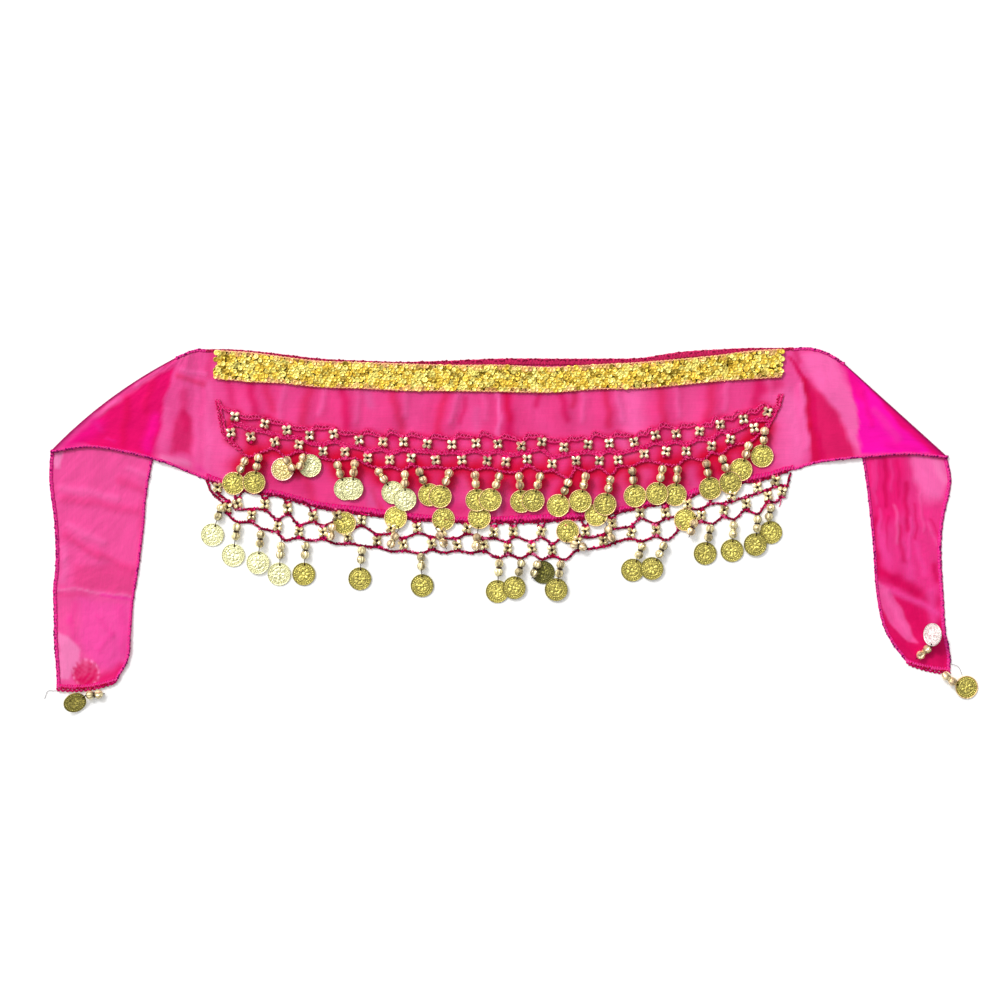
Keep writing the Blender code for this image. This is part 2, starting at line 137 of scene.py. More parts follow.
PANEL_FOLDS = [Fold(*row) for row in (
    (-227, -13, -214, -22, 5, 0, "hem", 0.7),
    # the broad light and dark stretches
    (-215, 10, -205, -15, 26, 0, "light", 0.45),
    (-196, 30, -190, -5, 18, 0, "soft", 0.4),
    (-160, 40, -158, -20, 14, 0, "soft", 0.35),
    (-97, 40, -100, 20, 16, 0, "soft", 0.35),
    (-62, 40, -68, 18, 14, 0, "soft", 0.5),
    (-25, 40, -24, -40, 16, 0, "soft", 0.5),
    (25, 36, 30, 14, 15, 0, "soft", 0.35),
    (62, 38, 64, 8, 15, 0, "soft", 0.35),
    (98, 42, 97, -18, 17, 0, "light", 0.8),
    (141, 44, 141, 8, 14, 0, "light", 0.25),
    (176, 48, 178, 18, 12, 0, "soft", 0.35),
    (210, 42, 212, -6, 16, 0, "light", 0.6),
    (-205, -12, -150, -28, 10, 0, "deep", 0.35),
    (-40, -44, 60, -44, 9, 0, "deep", 0.4),
    (100, -34, 190, -14, 10, 0, "deep", 0.3),
    (-101, 42, -99, 34, 6, 0, "lilac", 0.7),
    (-99, -32, -98, -40, 7, 0, "lilac", 0.7),
    (-66, -30, -66, -42, 6, 0, "lilac", 0.5),
    (-20, 30, -19, 16, 6, 0, "lilac", 0.5),
    (88, 36, 90, 22, 6, 0, "lilac", 0.5),
    (140, -18, 142, -26, 7, 0, "lilac", 0.4),
    (215, 38, 222, 0, 10, 0, "light", 0.8),
    (196, 46, 206, 50, 8, 0, "deep", 0.6),
    # dark troughs that hang from the band, each beside a raised fold: painted shade in the troughs, painted
    # highlight on the folds
    (-205, 52, -203, 36, 6, -0.2, "deep", 0.5),
    (-189, 51, -185, 24, 6, 0, "deep", 0.75),
    (-178, 50, -172, 30, 6, 0, "crimson", 0.45),
    (-163, 49, -168, 24, 4, 0.5, "light", 0.35),
    (-145, 47, -150, 20, 7, 0, "crimson", 0.5),
    (-134, 46, -137, 26, 4, 0.7, "light", 0.45),
    (-120, 46, -116, 17, 6, 0, "deep", 0.8),
    (-108, 46, -110, 22, 4, 0.6, "light", 0.35),
    (-82, 45, -76, 15, 6, 0, "crimson", 0.5),
    (-72, 44, -72, 26, 4, 0.8, "light", 0.35),
    (-43, 44, -49, 14, 6, 0, "crimson", 0.55),
    (-34, 43, -38, 22, 4, 0.9, "light", 0.4),
    (-28, 38, -31, 20, 3.5, 0, "deep", 0.6),
    (-14, 43, -13, 24, 4, 0.5, "light", 0.3),
    (-3, 44, -3, -50, 2.6, 1.1, "light", 0.85),
    (4, 43, 6, -10, 7, -0.1, "deep", 0.85),
    (3, 43, 4, 22, 4, 0, "crimson", 0.5),
    (28, 43, 26, 34, 4, 0, "deep", 0.7),
    (43, 43, 49, 22, 5, 0, "deep", 0.75),
    (54, 44, 52, 33, 4, 0, "crimson", 0.5),
    (60, 45, 60, 22, 3.5, 0.8, "light", 0.35),
    (77, 45, 80, 18, 5, 0, "crimson", 0.55),
    (86, 45, 90, 22, 4, 0.9, "light", 0.4),
    (118, 47, 122, 18, 6.5, 0, "crimson", 0.5),
    (129, 48, 133, 26, 4, 0.9, "light", 0.4),
    (158, 50, 154, 24, 7, 0, "crimson", 0.5),
    (169, 52, 166, 30, 4, 0.7, "light", 0.4),
    (192, 53, 190, 28, 6.5, 0, "deep", 0.75),
    (199, 54, 201, 42, 4, 0.4, "light", 0.3),
    # creases that show between the coins, in painted shade and highlight
    (-98, -30, -92, -44, 4, 0, "crimson", 0.4),
    (-27, -24, -22, -48, 4, 0.25, "light", 0.5),
    (-148, -20, -140, -40, 6, 0, "crimson", 0.4),
    (-120, -24, -118, -44, 5, 0, "light", 0.4),
    (110, -24, 112, -36, 5, 0, "deep", 0.5),
    (204, -6, 150, -18, 5, 0, "deep", 0.4),
    # the seam to each tie
    (-219, 74, -220, 52, 5, 0, "deep", 0.4),
    (-220, 50, -221, -20, 5, 0.15, "light", 0.4),
)]

LEFT_STRAP_FOLDS = [Fold(*row) for row in (
    (-335, -2, -320, 13, 4.4, 0.2, "light", 0.8),
    (-320, 13, -304, 26.5, 4.4, 0.2, "light", 0.7),
    (-304, 26.5, -288, 38.5, 4.4, 0.2, "light", 0.85),
    (-288, 38.5, -273, 49.5, 4.4, 0.2, "soft", 0.8),
    (-273, 49.5, -256, 60, 4.2, 0.2, "light", 0.7),
    (-256, 60, -243, 66.5, 4, 0.2, "soft", 0.8),
    (-325, 4, -304, 20, 12, 0, "doubled_pink", 0.7),
    (-266, 2, -261, 24, 7, 0.2, "doubled_pink", 0.9),
    (-281, 37, -284, 4, 5, 0.3, "crimson", 0.35),
    (-306, 22, -300, 15, 3.5, 0.3, "hem", 0.5),
    (-297, 9, -292, 7, 2, 0.3, "hem", 0.5),
    (-262, 50, -268, 30, 5, 0.3, "crimson", 0.25),
    (-239, 44, -237, 16, 6, 0.3, "deep", 0.5),
    (-229, 50, -229, -12, 3.5, 0.5, "light", 0.2),
    (-243, 56, -224, 49, 4, 0.25, "crimson", 0.45),
    (-240, 61, -222, 56, 3, 0.5, "light", 0.5),
    (-251, 30, -254, 2, 4, 0.3, "light", 0.3),
    (-254, -6, -236, -11, 5, 0.2, "pale", 0.6),
)]
LEFT_TAIL_FOLDS = [Fold(*row) for row in (
    (-287, -22, -264, -34, 6, 0.5, "rose", 0.8),
    (-280, -14, -262, -22, 4, 0.7, "light", 0.5),
    (-328, -36, -272, -46, 6, 0.6, "rose", 0.75),
    (-330, -28, -290, -36, 5, 0.8, "light", 0.5),
    (-328, -64, -302, -79, 5, 0.5, "rose", 0.8),
    (-302, -79, -277, -90, 5, 0.6, "rose", 0.8),
    (-325, -56, -300, -70, 5, 0.8, "light", 0.45),
    (-329, -74, -329, -98, 5, 0.3, "light", 0.7),
    (-337, -105, -310, -105, 1.6, 0.5, "pale", 0.45),
    (-310, -105, -276, -111.5, 1.6, 0.5, "pale", 0.45),
    (-300, -108, -276, -113.5, 2.4, 0, "magenta", 0.45),
    (-337, -109, -312, -109, 4, 0, "rose", 0.6),
    (-321, -116, -324, -128, 5, 0.2, "hem", 0.4),
    (-324, -128, -319, -142, 4, 0.2, "hem", 0.35),
    (-305, -124, -293, -137, 3.5, 0.5, "hem", 0.25),
    (-293, -137, -302, -150, 3.5, 0.4, "hem", 0.25),
    (-286, -118, -283, -150, 6, 0.4, "hem", 0.3),
    (-300, -173, -285, -163, 8, 0, "doubled", 0.85),
    (-270, -40, -272, -100, 5, 0.2, "rose", 0.5),
)]
RIGHT_STRAP_FOLDS = [Fold(*row) for row in (
    (226, 52, 231, 18, 4, 0.3, "crimson", 0.5),
    (231, 18, 235, -8, 5, 0.3, "crimson", 0.45),
    (223, 48, 228, 2, 3, 0.4, "light", 0.8),
    (219, 34, 221, -8, 8, 0.2, "light", 0.6),
    (219, 74, 222, 66, 4, 0, "deep", 0.6),
    (279, 30, 296, 8, 5, 0.4, "hot_soft", 0.3),
    (270, 44, 276, 18, 4, 0.4, "doubled_pink", 0.6),
    (256, 64, 268, 42, 9, 0, "doubled_pink", 0.85),
    (288, 6, 310, 0, 5, 0.3, "doubled_pink", 0.35),
)]
RIGHT_TAIL_FOLDS = [Fold(*row) for row in (
    (317, -12, 322, -32, 14, 0.3, "light", 0.95),
    (326, -10, 331, -22, 6, 0.3, "pale", 0.5),
    (286.5, -7, 288, -43, 3.2, -0.1, "deep", 0.8),
    (296, -6, 297, -34, 2.4, 0.1, "deep", 0.5),
    (276.5, -10, 280, -40, 2.4, 0.2, "hot_soft", 0.35),
    (300, -70, 306, -96, 6, 0.2, "hot_soft", 0.4),
    (288, -50, 289, -76, 1.8, 0.1, "deep", 0.5),
    (311, -70, 316, -92, 4, 0.1, "hot_soft", 0.35),
    (291, -8, 292, -30, 2, 0.2, "hot_soft", 0.28),
    (279, -8, 281, -30, 2.2, 0.2, "hot_soft", 0.33),
    (302.7, -24, 303, -60, 3.5, 0, "deep", 0.8),
    (297, -58, 301, -84, 4, 0, "deep", 0.7),
    (279, -52, 281, -92, 4.5, 0, "deep", 0.9),
    (294.3, -42, 297, -70, 2.2, 0.35, "light", 0.44),
    (282.5, -45, 283, -62, 2.2, 0.3, "hot_soft", 0.44),
    (306, -50, 305.5, -80, 2.4, 0.35, "hot_soft", 0.44),
    (313.5, -32, 315, -60, 2, 0.3, "light", 0.28),
    (309.5, -40, 310, -66, 1.8, 0, "deep", 0.6),
    (318, -55, 325.5, -72, 1.8, 0.3, "light", 0.3),
    (321, -52, 328, -68, 1.8, 0, "deep", 0.6),
    (284, -66, 290, -92, 7, 0.4, "hot_soft", 0.4),
    (323.5, -86, 325, -97, 5, 0, "deep", 0.8),
    (280, -89, 296.5, -98, 6, -0.1, "deep", 1),
    (296.5, -98, 312, -109, 6, -0.1, "deep", 0.95),
    (312, -109, 324, -116, 5, 0, "deep", 0.5),
    (279.8, -97.5, 290, -104, 2.2, 0.5, "light", 0.3),
    (290, -105, 326, -121, 3, 0.5, "hot_soft", 0.4),
    (286, -106, 305, -138, 4, 0.7, "light", 0.4),
    (304, -118, 314, -134, 7, -0.2, "deep", 0.6),
    (322, -106, 322, -128, 6, 0.3, "hot_soft", 0.5),
    (291, -142, 309, -150, 6, 0, "deep", 0.8),
    (326, -140, 328, -156, 7, 0.2, "deep", 0.6),
)]

# A zone of the cloth turned towards one shade: by what share, how soft its edge is, and its corners.
Patch = namedtuple("Patch", "shade strength softness corners")
LEFT_STRAP_PATCHES = [
    Patch("doubled", 0.98, 1.6, [
        (-243, 69), (-248, 56), (-251, 45), (-254.5, 30), (-257, 15), (-259, 4), (-262, -6), (-294, 0),
        (-320, 5), (-345, -1), (-320, 20), (-300, 40), (-270, 60)]),
    Patch("wine", 0.8, 2.5, [(-247, 20), (-238, 32), (-233, 26), (-233, -3), (-248, -3)]),
]
LEFT_TAIL_PATCHES = [
    Patch("pale", 0.9, 1.2, [(-340, 4), (-328.5, 4), (-330, -6), (-332.5, -13), (-336, -13)]),
    Patch("rose", 0.75, 3, [(-322, -86), (-274, -86), (-275, -110), (-309.7, -104), (-321, -103)]),
    Patch("hot_soft", 0.8, 4, [(-318, -110), (-276, -116), (-280, -164), (-304, -164), (-316, -148)]),
    Patch("pale", 0.85, 1.5, [
        (-333, -136.5), (-324.5, -139), (-316.5, -150), (-318.5, -159), (-324, -171), (-333, -173)]),
]
RIGHT_STRAP_PATCHES = [
    Patch("light", 0.95, 2.2, [
        (223, 70), (233, 74.5), (247.5, 69), (258, 58), (263, 39.5), (267, 18), (269, -2), (263, 3),
        (255, 20), (245.5, 33.5), (238, 45), (230, 59)]),
    Patch("wine", 0.95, 2.5, [
        (230, 53), (241.5, 39.5), (252.5, 26), (259, 12), (266, -10), (236, -10), (233, 18)]),
    Patch("deep", 0.97, 1.3, [
        (214, 69), (220, 60), (224, 53), (226, 42), (228, 31.5), (229.5, 18), (230, 6), (231.5, -12),
        (243, -12), (239.5, 3), (237, 18), (235, 31.5), (234, 40), (230, 52), (224, 61), (216, 70)]),
    Patch("magenta", 0.98, 1.2, [
        (246, 74), (257, 68), (298, 34), (338, -4), (298, -2), (269, -4), (267, 8), (266, 22), (263.5, 37),
        (260.5, 52), (255.5, 65)]),
    Patch("doubled", 0.9, 2, [
        (256, 68), (300, 34), (340, -4), (322, -4), (298, 17), (283.5, 38), (266, 55)]),
]
RIGHT_TAIL_PATCHES = [
    Patch("doubled", 0.65, 5, [(272, -4), (302, -4), (302, -42), (290, -56), (276, -50)]),
    Patch("light", 0.85, 3, [(307, -2), (336, -8), (334, -26), (327, -36), (314, -32), (308, -22)]),
    Patch("deep", 0.6, 3, [
        (276, -82), (286, -82), (302, -97), (330, -110), (330, -119), (296, -105), (276, -95)]),
    Patch("hot_rose", 0.75, 1.2, [
        (282, -97), (332, -118), (332, -129), (318, -124.5), (304, -113), (289, -104)]),
    Patch("deep", 0.9, 2.2, [(274, -106), (296, -110), (332, -128), (338, -170), (296, -164), (280, -140)]),
    Patch("soft", 0.95, 1.1, [
        (280.5, -97), (289, -103), (296, -115), (303, -128), (312, -145.5), (304, -142.5), (294, -133),
        (285.5, -121), (281, -109)]),
]

# The straps run on from the panel, so both take all of these.
BODY_FOLDS = PANEL_FOLDS + LEFT_STRAP_FOLDS + RIGHT_STRAP_FOLDS
BODY_PATCHES = [
    Patch("soft", 0.8, 14, [(-205, 110), (-360, 110), (-360, -60), (-212, -60)]),
    Patch("soft", 1, 14, [(203, 110), (360, 110), (360, -60), (206, -60)]),
] + LEFT_STRAP_PATCHES + RIGHT_STRAP_PATCHES

# A tie, one row for each section across the strip from the body to its tip, as in the solids.
TieRow = namedtuple("TieRow", "x y x2 y2 rest bow")
OVER_COIN = 1.3
LEFT_STRAP = [TieRow(*row) for row in (
    (-222.3, -22.5, -222.3, 75.5, 0, 0),
    (-234.5, -17.5, -228, 75.8, 0, 0),
    (-253, -10, -234.5, 74, STRAP_REST, 0),
    (-283, -2, -238, 72, STRAP_REST, 1.5),
    (-313, 2, -241, 70.5, STRAP_REST, 3.5),
)]
LEFT_TAIL = [TieRow(*row) for row in (
    (-338.5, -2, -243, 69, 0, 5),
    (-339.5, -19, -246.5, 58.5, 0, 3.5),
    (-338.5, -34, -252, 39, 0, 1.5),
    (-336.5, -49, -256.5, 15, 0, 0),
    (-335.5, -61.5, -262, -6, 0, 0),
    (-335, -75, -266.5, -30, 0, 0),
    (-335.5, -91.5, -269.5, -64, 0, 0),
    (-337, -105, -273.5, -94, 0, 0),
    (-336.5, -124, -276.5, -112.5, 0, 0),
    (-336, -146, -278.5, -139, OVER_COIN, -1),
    (-334.5, -165, -280.5, -157, OVER_COIN, -2),
    (-334, -178.5, -289.5, -173, OVER_COIN, -3),
)]
RIGHT_STRAP = [TieRow(*row) for row in (
    (218.3, -15.5, 218.3, 76.5, 0, 0),
    (234, -10.5, 229, 77, 0, 0),
    (249.5, -8, 238, 75, STRAP_REST, 0),
    (275.5, -5.5, 245.5, 71.5, STRAP_REST, 0.5),
    (305.5, -3.5, 251.5, 67.5, STRAP_REST, 0.5),
)]
RIGHT_TAIL = [TieRow(*row) for row in (
    (333, -6, 254.5, 65, 0, 0),
    (336, -21, 260.5, 52.5, 0, 0),
    (335, -32.5, 265, 28.5, 0, 0),
    (332.5, -43.5, 269, 0, 0, 0),
    (330.5, -54, 272.5, -22.5, 0, 0),
    (329, -71, 275.5, -49, 0, 0),
    (329.5, -90, 278, -75, 0, 0),
    (331, -112.5, 280, -105, 0, 0),
    (332.5, -136.5, 286, -133.5, 0, 0),
    (336, -157, 296, -150, 0, 0),
    (335.5, -166.5, 304, -159.5, 0, -1.5),
)]

# The body, one row for each section across it, as in the solids: x, then the y of each line along it.
Section = namedtuple("Section", "x waist band_top band_low hem")
SECTIONS = [Section(*row) for row in (
    (-222, 75.5, 75, 54, -22.5),
    (-214, 75.5, 75, 53.5, -25.5),
    (-206, 75.5, 74.5, 53, -28),
    (-190, 74.5, 73.5, 51.5, -31),
    (-167, 72, 70.5, 50.5, -34.5),
    (-137, 68.5, 67, 47.5, -43),
    (-107, 67, 66, 46.5, -47.5),
    (-77, 66, 65, 45, -51),
    (-39, 67, 64, 44.5, -53.5),
    (-2, 68.5, 64, 44, -54),
    (36, 68.5, 62.5, 43.5, -53),
    (73, 68.5, 64.5, 46, -49.5),
    (103, 69, 66, 46.5, -43),
    (133, 73.5, 68.5, 49, -37.5),
    (163, 75.5, 71.5, 52, -27),
    (186, 76.5, 74.5, 53.5, -23.5),
    (202, 76.5, 75.5, 54.5, -20),
    (210, 76.5, 76, 55, -17),
    (218, 77, 76.5, 56, -15),
)]
BODY_LEFT = -222.3
BODY_RIGHT = 218.3
BAND_LEFT = -214
BAND_RIGHT = 210

# Soft gathers that hang from the sequin band, as in the solids.
Gather = namedtuple("Gather", "x_band x_lace height half_width")
GATHERS = [Gather(*row) for row in (
    (-190, -186, 1.8, 12),
    (-148, -152, 1.6, 12),
    (-118, -116, 2, 13),
    (-80, -83, 1.8, 12),
    (-40, -42, 2.2, 13),
    (6, 4, 1.6, 12),
    (44, 46, 1.8, 12),
    (78, 80, 2, 13),
    (118, 120, 2.2, 13),
    (157, 153, 1.8, 12),
)]
GATHER_MIDDLE = 27
GATHER_REACH = 22

# Bead flowers of the laces, one (x, y) each.
UPPER_ROW_ONE = [
    (-200.5, 25), (-178, 19.5), (-161.5, 15), (-144.5, 11), (-126.5, 12), (-107.5, 7.5),
    (-89.5, 6), (-74, 6), (-56.5, 4.5), (-38, 4), (-20, 5), (-3.5, 4.5), (14, 3),
    (29.5, 6), (46, 2), (64, 4), (80, 5), (98.5, 6), (114.5, 11), (130, 12),
    (147.5, 14), (163, 19), (180.5, 23), (198.5, 28.5),
]
UPPER_ROW_TWO = [
    (-203.5, 13), (-188.5, 10), (-170.5, 6), (-152.5, 4), (-134.5, -1), (-118, -1.5),
    (-101, -6), (-84.5, -7.5), (-68.5, -6), (-50, -7.5), (-30.5, -7.5), (-11.5, -8),
    (2.5, -9), (18.5, -7), (37, -10.5), (55, -8), (72.5, -8), (86.5, -7.5),
    (106, -3), (122.5, -1), (137.5, -1), (156.5, 3), (170.5, 8), (188.5, 16.5),
]
HEM_ROW_ONE = [
    (-213.5, -28), (-198.5, -40), (-178, -40.5), (-161, -43.5), (-142, -49.5),
    (-124, -49), (-105.5, -52.5), (-83.5, -58.5), (-64, -58), (-45.5, -61.5), (-26.5, -58.5),
    (-6.5, -61.5), (8, -61), (29, -61), (47, -60), (62, -61), (82, -55),
    (103, -47), (122, -47), (138.5, -40.5), (155.5, -36), (172, -34), (191, -28),
    (204.5, -23),
]
HEM_ROW_TWO = [
    (-206, -43), (-188, -49), (-168.5, -57), (-152.5, -61), (-134.5, -61.5), (-116, -65),
    (-94, -68), (-74.5, -71), (-53, -70), (-34, -71), (-14, -71), (4, -73.5),
    (22, -73.5), (37, -75), (56, -68), (75.5, -68), (96.5, -62), (115, -60),
    (133, -54), (149, -49), (166, -45), (182.5, -40), (199, -34.5), (209.5, -31),
]

# The low line of the hem lace, one (x, y) each.
LOW_LINE = [
    (-222, -22.5), (-218, -31.5), (-210.5, -38.5), (-206, -48), (-199, -54),
    (-188, -54.5), (-180.5, -59), (-168.5, -62), (-164.5, -67), (-152.5, -66),
    (-145, -68), (-134.5, -67), (-124, -70.5), (-116, -70), (-105, -72), (-94, -73),
    (-83, -76), (-74.5, -75.5), (-62, -77.5), (-53, -75), (-43, -77), (-34, -75.5),
    (-24, -77), (-14, -76), (-2, -81), (4, -78.5), (13, -81), (22, -78),
    (29.5, -82), (37, -80), (47, -82), (56, -75), (66, -74), (75.5, -72.5),
    (88, -68), (96.5, -66.5), (104, -68.5), (115, -65), (123.5, -67.5), (133, -59.5),
    (141, -57.5), (149, -53.5), (157, -55.5), (166, -50), (173, -52), (182.5, -45),
    (191, -48), (199, -39.5), (205, -39), (209.5, -35), (216, -17),
]

# Yarn that runs down the upper lace's two ends, and threads that hang loose.
LACE_ENDS = [
    [(-213.5, 37.5), (-210.5, 22.5), (-207.5, 11), (-197, 0)],
    [(209, 42), (206.5, 34), (202, 24.5), (197, 16)],
]
LACE_LOOSE_END = [(206.5, -37, 1), (208.5, -39, 0.8), (207.5, -42.5, 0.5)]
LOOSE_THREADS = [
    [(-331, -178.5, 1.6), (-335.5, -180.5, 1), (-340.5, -180.5, 0.5), (-343.5, -186.5, 0.4)],
    [(336, -160.5, 1), (341, -162, 1.4), (344.5, -168.5, 0.9)],
]
LOOSE_GREY = (0.45, 0.42, 0.43)

# Crochet chains: how wide they are, the radius of their strands, how long a full turn is, and how
# far apart and how big the knots along them are.
Braid = namedtuple("Braid", "width radius pitch nub_step nub_size")
ROPE = Braid(1, 0.3, 2.2, None, None)
MIDDLE_CHAIN = Braid(1.6, 0.34, 2.8, 2.6, 0.62)
LOW_CHAIN = Braid(1.6, 0.36, 2.8, 2.4, 0.65)
END_CHAIN = Braid(1.5, 0.42, 2.8, 2.2, 0.8)
HEM_CHAIN = Braid(1.4, 0.45, 2.6, 2, 0.88)
HEM_MESH = Braid(1.2, 0.42, 2.6, 2.4, 0.7)
HEM_STRAND = Braid(0.8, 0.38, 2.6, None, None)
TIP_LOOPS = Braid(1.1, 0.45, 2.2, None, None)

# Overlocked hems: how thick, how far apart the thread's turns are, how big its dashes are, and the
# shades of the cloth, the thread and the dashes.
Hem = namedtuple("Hem", "thick pitch dash cloth thread dashes")
WAIST_HEM = Hem(1.2, 2.3, 1.7, "waist", "waist", "waist_dark")
BODY_HEM = Hem(1.2, 2.3, 1.7, "hem_hot", "hem_light", "hem_dark")
TIE_HEM = Hem(0.9, 2.2, 1.5, "hem", "hem_light", "stitch")
TIP_HEM = Hem(1, 1.8, 1.6, "hem_hot", "hem_light", "yarn_red")

# Coins painted brighter, warmer or darker than the rest: painted reflections, and painted shade on the dark
# one.
PAINTED_COIN_LIGHT = {
    "upper_drop_03": "coin_warm", "right_hem_drop_02": "coin_dark", "right_tie_drop": "coin_white",
    **{f"left_hem_drop_{number:02d}": "coin_pale" for number in range(1, 5)},
    **{f"upper_drop_{number:02d}": "coin_pale" for number in range(4, 9)},
}

# ---- Camera, light and floor ----

VIEW_CENTRE = (-1.9, -37.5)
VIEW_WIDTH = 750.0
CAMERA_HEIGHT = 2000.0
SENSOR = 36.0
FLOOR_REACH = 4.0  # metres
FLOOR_Z = -0.0002
SKY_TOWARD = (-0.42, 0.46, 0.78)  # the side of the sky that is brightest
SKY = ((0.0, 0.05), (0.3, 0.25), (0.6, 0.62), (0.82, 0.9), (0.9, 1.5), (1.0, 1.8))  # place, brightness


def add_camera():
    camera = bpy.data.objects.new("camera", bpy.data.cameras.new("camera"))
    camera.location = (VIEW_CENTRE[0] * MM, VIEW_CENTRE[1] * MM, CAMERA_HEIGHT * MM)
    camera.data.sensor_width = SENSOR
    camera.data.lens = SENSOR * CAMERA_HEIGHT / VIEW_WIDTH
    camera.data.clip_start = 0.01
    bpy.context.scene.collection.objects.link(camera)
    bpy.context.scene.camera = camera


def add_lights():
    scene = bpy.context.scene
    scene.view_settings.view_transform = "Standard"
    scene.world = bpy.data.worlds.new("studio")
    scene.world.use_nodes = True
    nodes, links = scene.world.node_tree.nodes, scene.world.node_tree.links
    toward = nodes.new("ShaderNodeVectorMath")
    toward.operation = "DOT_PRODUCT"
    toward.inputs[1].default_value = SKY_TOWARD
    ramp = nodes.new("ShaderNodeValToRGB")
    links.new(nodes.new("ShaderNodeTexCoord").outputs["Generated"], toward.inputs[0])
    links.new(toward.outputs["Value"], ramp.inputs["Fac"])
    links.new(ramp.outputs["Color"], nodes["Background"].inputs["Color"])
    levels = ramp.color_ramp.elements
    levels[0].position, levels[-1].position = 0.0, 1.0
    for place, _ in SKY[1:-1]:
        levels.new(place)
    for level, (_, light) in zip(levels, SKY):
        level.color = (light, light, light, 1.0)
    nodes["Background"].inputs["Strength"].default_value = 1.05
    sun = bpy.data.lights.new("key", "SUN")
    sun.energy = 1.5
    sun.angle = math.radians(14.0)
    key = bpy.data.objects.new("key", sun)
    key.rotation_euler = (math.radians(-34.0), math.radians(-30.0), 0.0)
    scene.collection.objects.link(key)


# ---- Materials ----


class Finish:
    """A Principled material whose nodes are added one by one."""

    def __init__(self, name, settings):
        self.material = bpy.data.materials.new(name)
        self.material.use_nodes = True
        self.tree = self.material.node_tree
        self.shader = self.tree.nodes["Principled BSDF"]
        for socket, value in settings.items():
            self.shader.inputs[socket].default_value = value

    def node(self, kind, inputs, **settings):
        """A new node with its settings, and each input set to a value or to another node's output."""
        node = self.tree.nodes.new(kind)
        for name, value in settings.items():
            setattr(node, name, value)
        for name, source in inputs.items():
            if isinstance(source, bpy.types.NodeSocket):
                self.tree.links.new(source, node.inputs[name])
            else:
                node.inputs[name].default_value = source
        return node

    def math(self, operation, *sources):
        return self.node("ShaderNodeMath", dict(enumerate(sources)), operation=operation).outputs[0]

    def shade(self, output="Color"):
        """The shade painted on the piece's points."""
        return self.node("ShaderNodeAttribute", {}, attribute_name="shade").outputs[output]

    def places(self, scale_x=1.0, scale_y=1.0):
        """The piece's flat coordinates in millimetres, scaled."""
        flat = self.node("ShaderNodeUVMap", {}, uv_map="flat").outputs[0]
        scale = (scale_x / MM, scale_y / MM, 1)
        return self.node("ShaderNodeMapping", {"Vector": flat, "Scale": scale}).outputs[0]

    def turns(self, axis, length):
        """An angle that grows by a full turn each length along one of the flat coordinates."""
        flat = self.node("ShaderNodeSeparateXYZ", {0: self.places()}).outputs[axis]
        return self.math("MULTIPLY", flat, 2 * math.pi / length)

    def wave(self, axis, length):
        return self.math("SINE", self.turns(axis, length))

    def twist(self, length):
        """The slanting strands of a twisted yarn."""
        return self.math("SINE", self.math("ADD", self.turns(0, length), self.turns(1, 1.0)))

    def cells(self, scale):
        """How far each place is from the middle of its cell."""
        inputs = {"Vector": self.places(), "Scale": scale}
        return self.node("ShaderNodeTexVoronoi", inputs).outputs["Distance"]

    def noise(self, places, scale, detail=3.0, roughness=0.6):
        inputs = {"Vector": places, "Scale": scale, "Detail": detail, "Roughness": roughness}
        return self.node("ShaderNodeTexNoise", inputs).outputs["Fac"]

    def tinted(self, shade, amount, low, high):
        """The shade's colour, made darker and lighter between low and high by amount."""
        ramp = self.node("ShaderNodeMapRange", {0: amount, 1: 0.3, 2: 0.7, 3: low, 4: high}).outputs[0]
        inputs = {"Factor": 1.0, "A": shade, "B": ramp}
        return self.node("ShaderNodeMix", inputs, data_type="RGBA", blend_type="MULTIPLY").outputs["Result"]

    def bump(self, height, distance, strength, below=None):
        inputs = {"Strength": strength, "Distance": distance * MM, "Height": height}
        if below is not None:
            inputs["Normal"] = below
        return self.node("ShaderNodeBump", inputs).outputs["Normal"]

    def finish(self, colour, normal):
        self.tree.links.new(colour, self.shader.inputs["Base Color"])
        self.tree.links.new(normal, self.shader.inputs["Normal"])
        return self.material


def chiffon_finish():
    """Sheer chiffon: a fine plain weave, faint slubs along it and a soft crumple."""
    finish = Finish("chiffon_weave", {
        "Roughness": 0.62, "Sheen Weight": 0.05, "Sheen Roughness": 0.4,
        "Sheen Tint": (1.0, 0.45, 0.75, 1.0), "Specular IOR Level": 0.06})
    slub = finish.noise(finish.places(0.05, 0.9), 1.0)
    cloud = finish.noise(finish.places(0.035, 0.03), 1.0, 4.0, 0.55)
    crumple = finish.noise(finish.places(0.11, 0.06), 1.0, 4.0, 0.5)
    tinted = finish.tinted(finish.tinted(finish.shade(), slub, 0.95, 1.05), cloud, 0.9, 1.08)
    weave = finish.math("MULTIPLY", finish.wave(0, 0.55), finish.wave(1, 0.55))
    normal = finish.bump(slub, 0.3, 0.35, finish.bump(crumple, 2.2, 0.5))
    finish.tree.links.new(finish.shade("Alpha"), finish.shader.inputs["Alpha"])
    return finish.finish(tinted, finish.bump(weave, 0.05, 0.2, normal))


def hem_finish():
    """Rolled cloth under the overlock thread."""
    finish = Finish("chiffon_roll", {
        "Roughness": 0.65, "Sheen Weight": 0.05, "Sheen Tint": (1.0, 0.4, 0.7, 1.0),
        "Specular IOR Level": 0.08})
    grain = finish.noise(finish.places(), 1.2)
    ridges = finish.bump(finish.wave(0, 1.0), 0.25, 0.5)
    return finish.finish(finish.tinted(finish.shade(), grain, 0.6, 1.4), ridges)


def yarn_finish():
    """Twisted yarn: fibres wound round each strand."""
    finish = Finish("crochet_yarn", {
        "Roughness": 0.75, "Sheen Weight": 0.06, "Sheen Roughness": 0.5,
        "Sheen Tint": (1.0, 0.35, 0.6, 1.0), "Specular IOR Level": 0.05})
    fuzz = finish.noise(finish.places(), 2.2)
    normal = finish.bump(fuzz, 0.1, 0.4, finish.bump(finish.twist(1.1), 0.12, 0.6))
    return finish.finish(finish.tinted(finish.shade(), fuzz, 0.7, 1.25), normal)


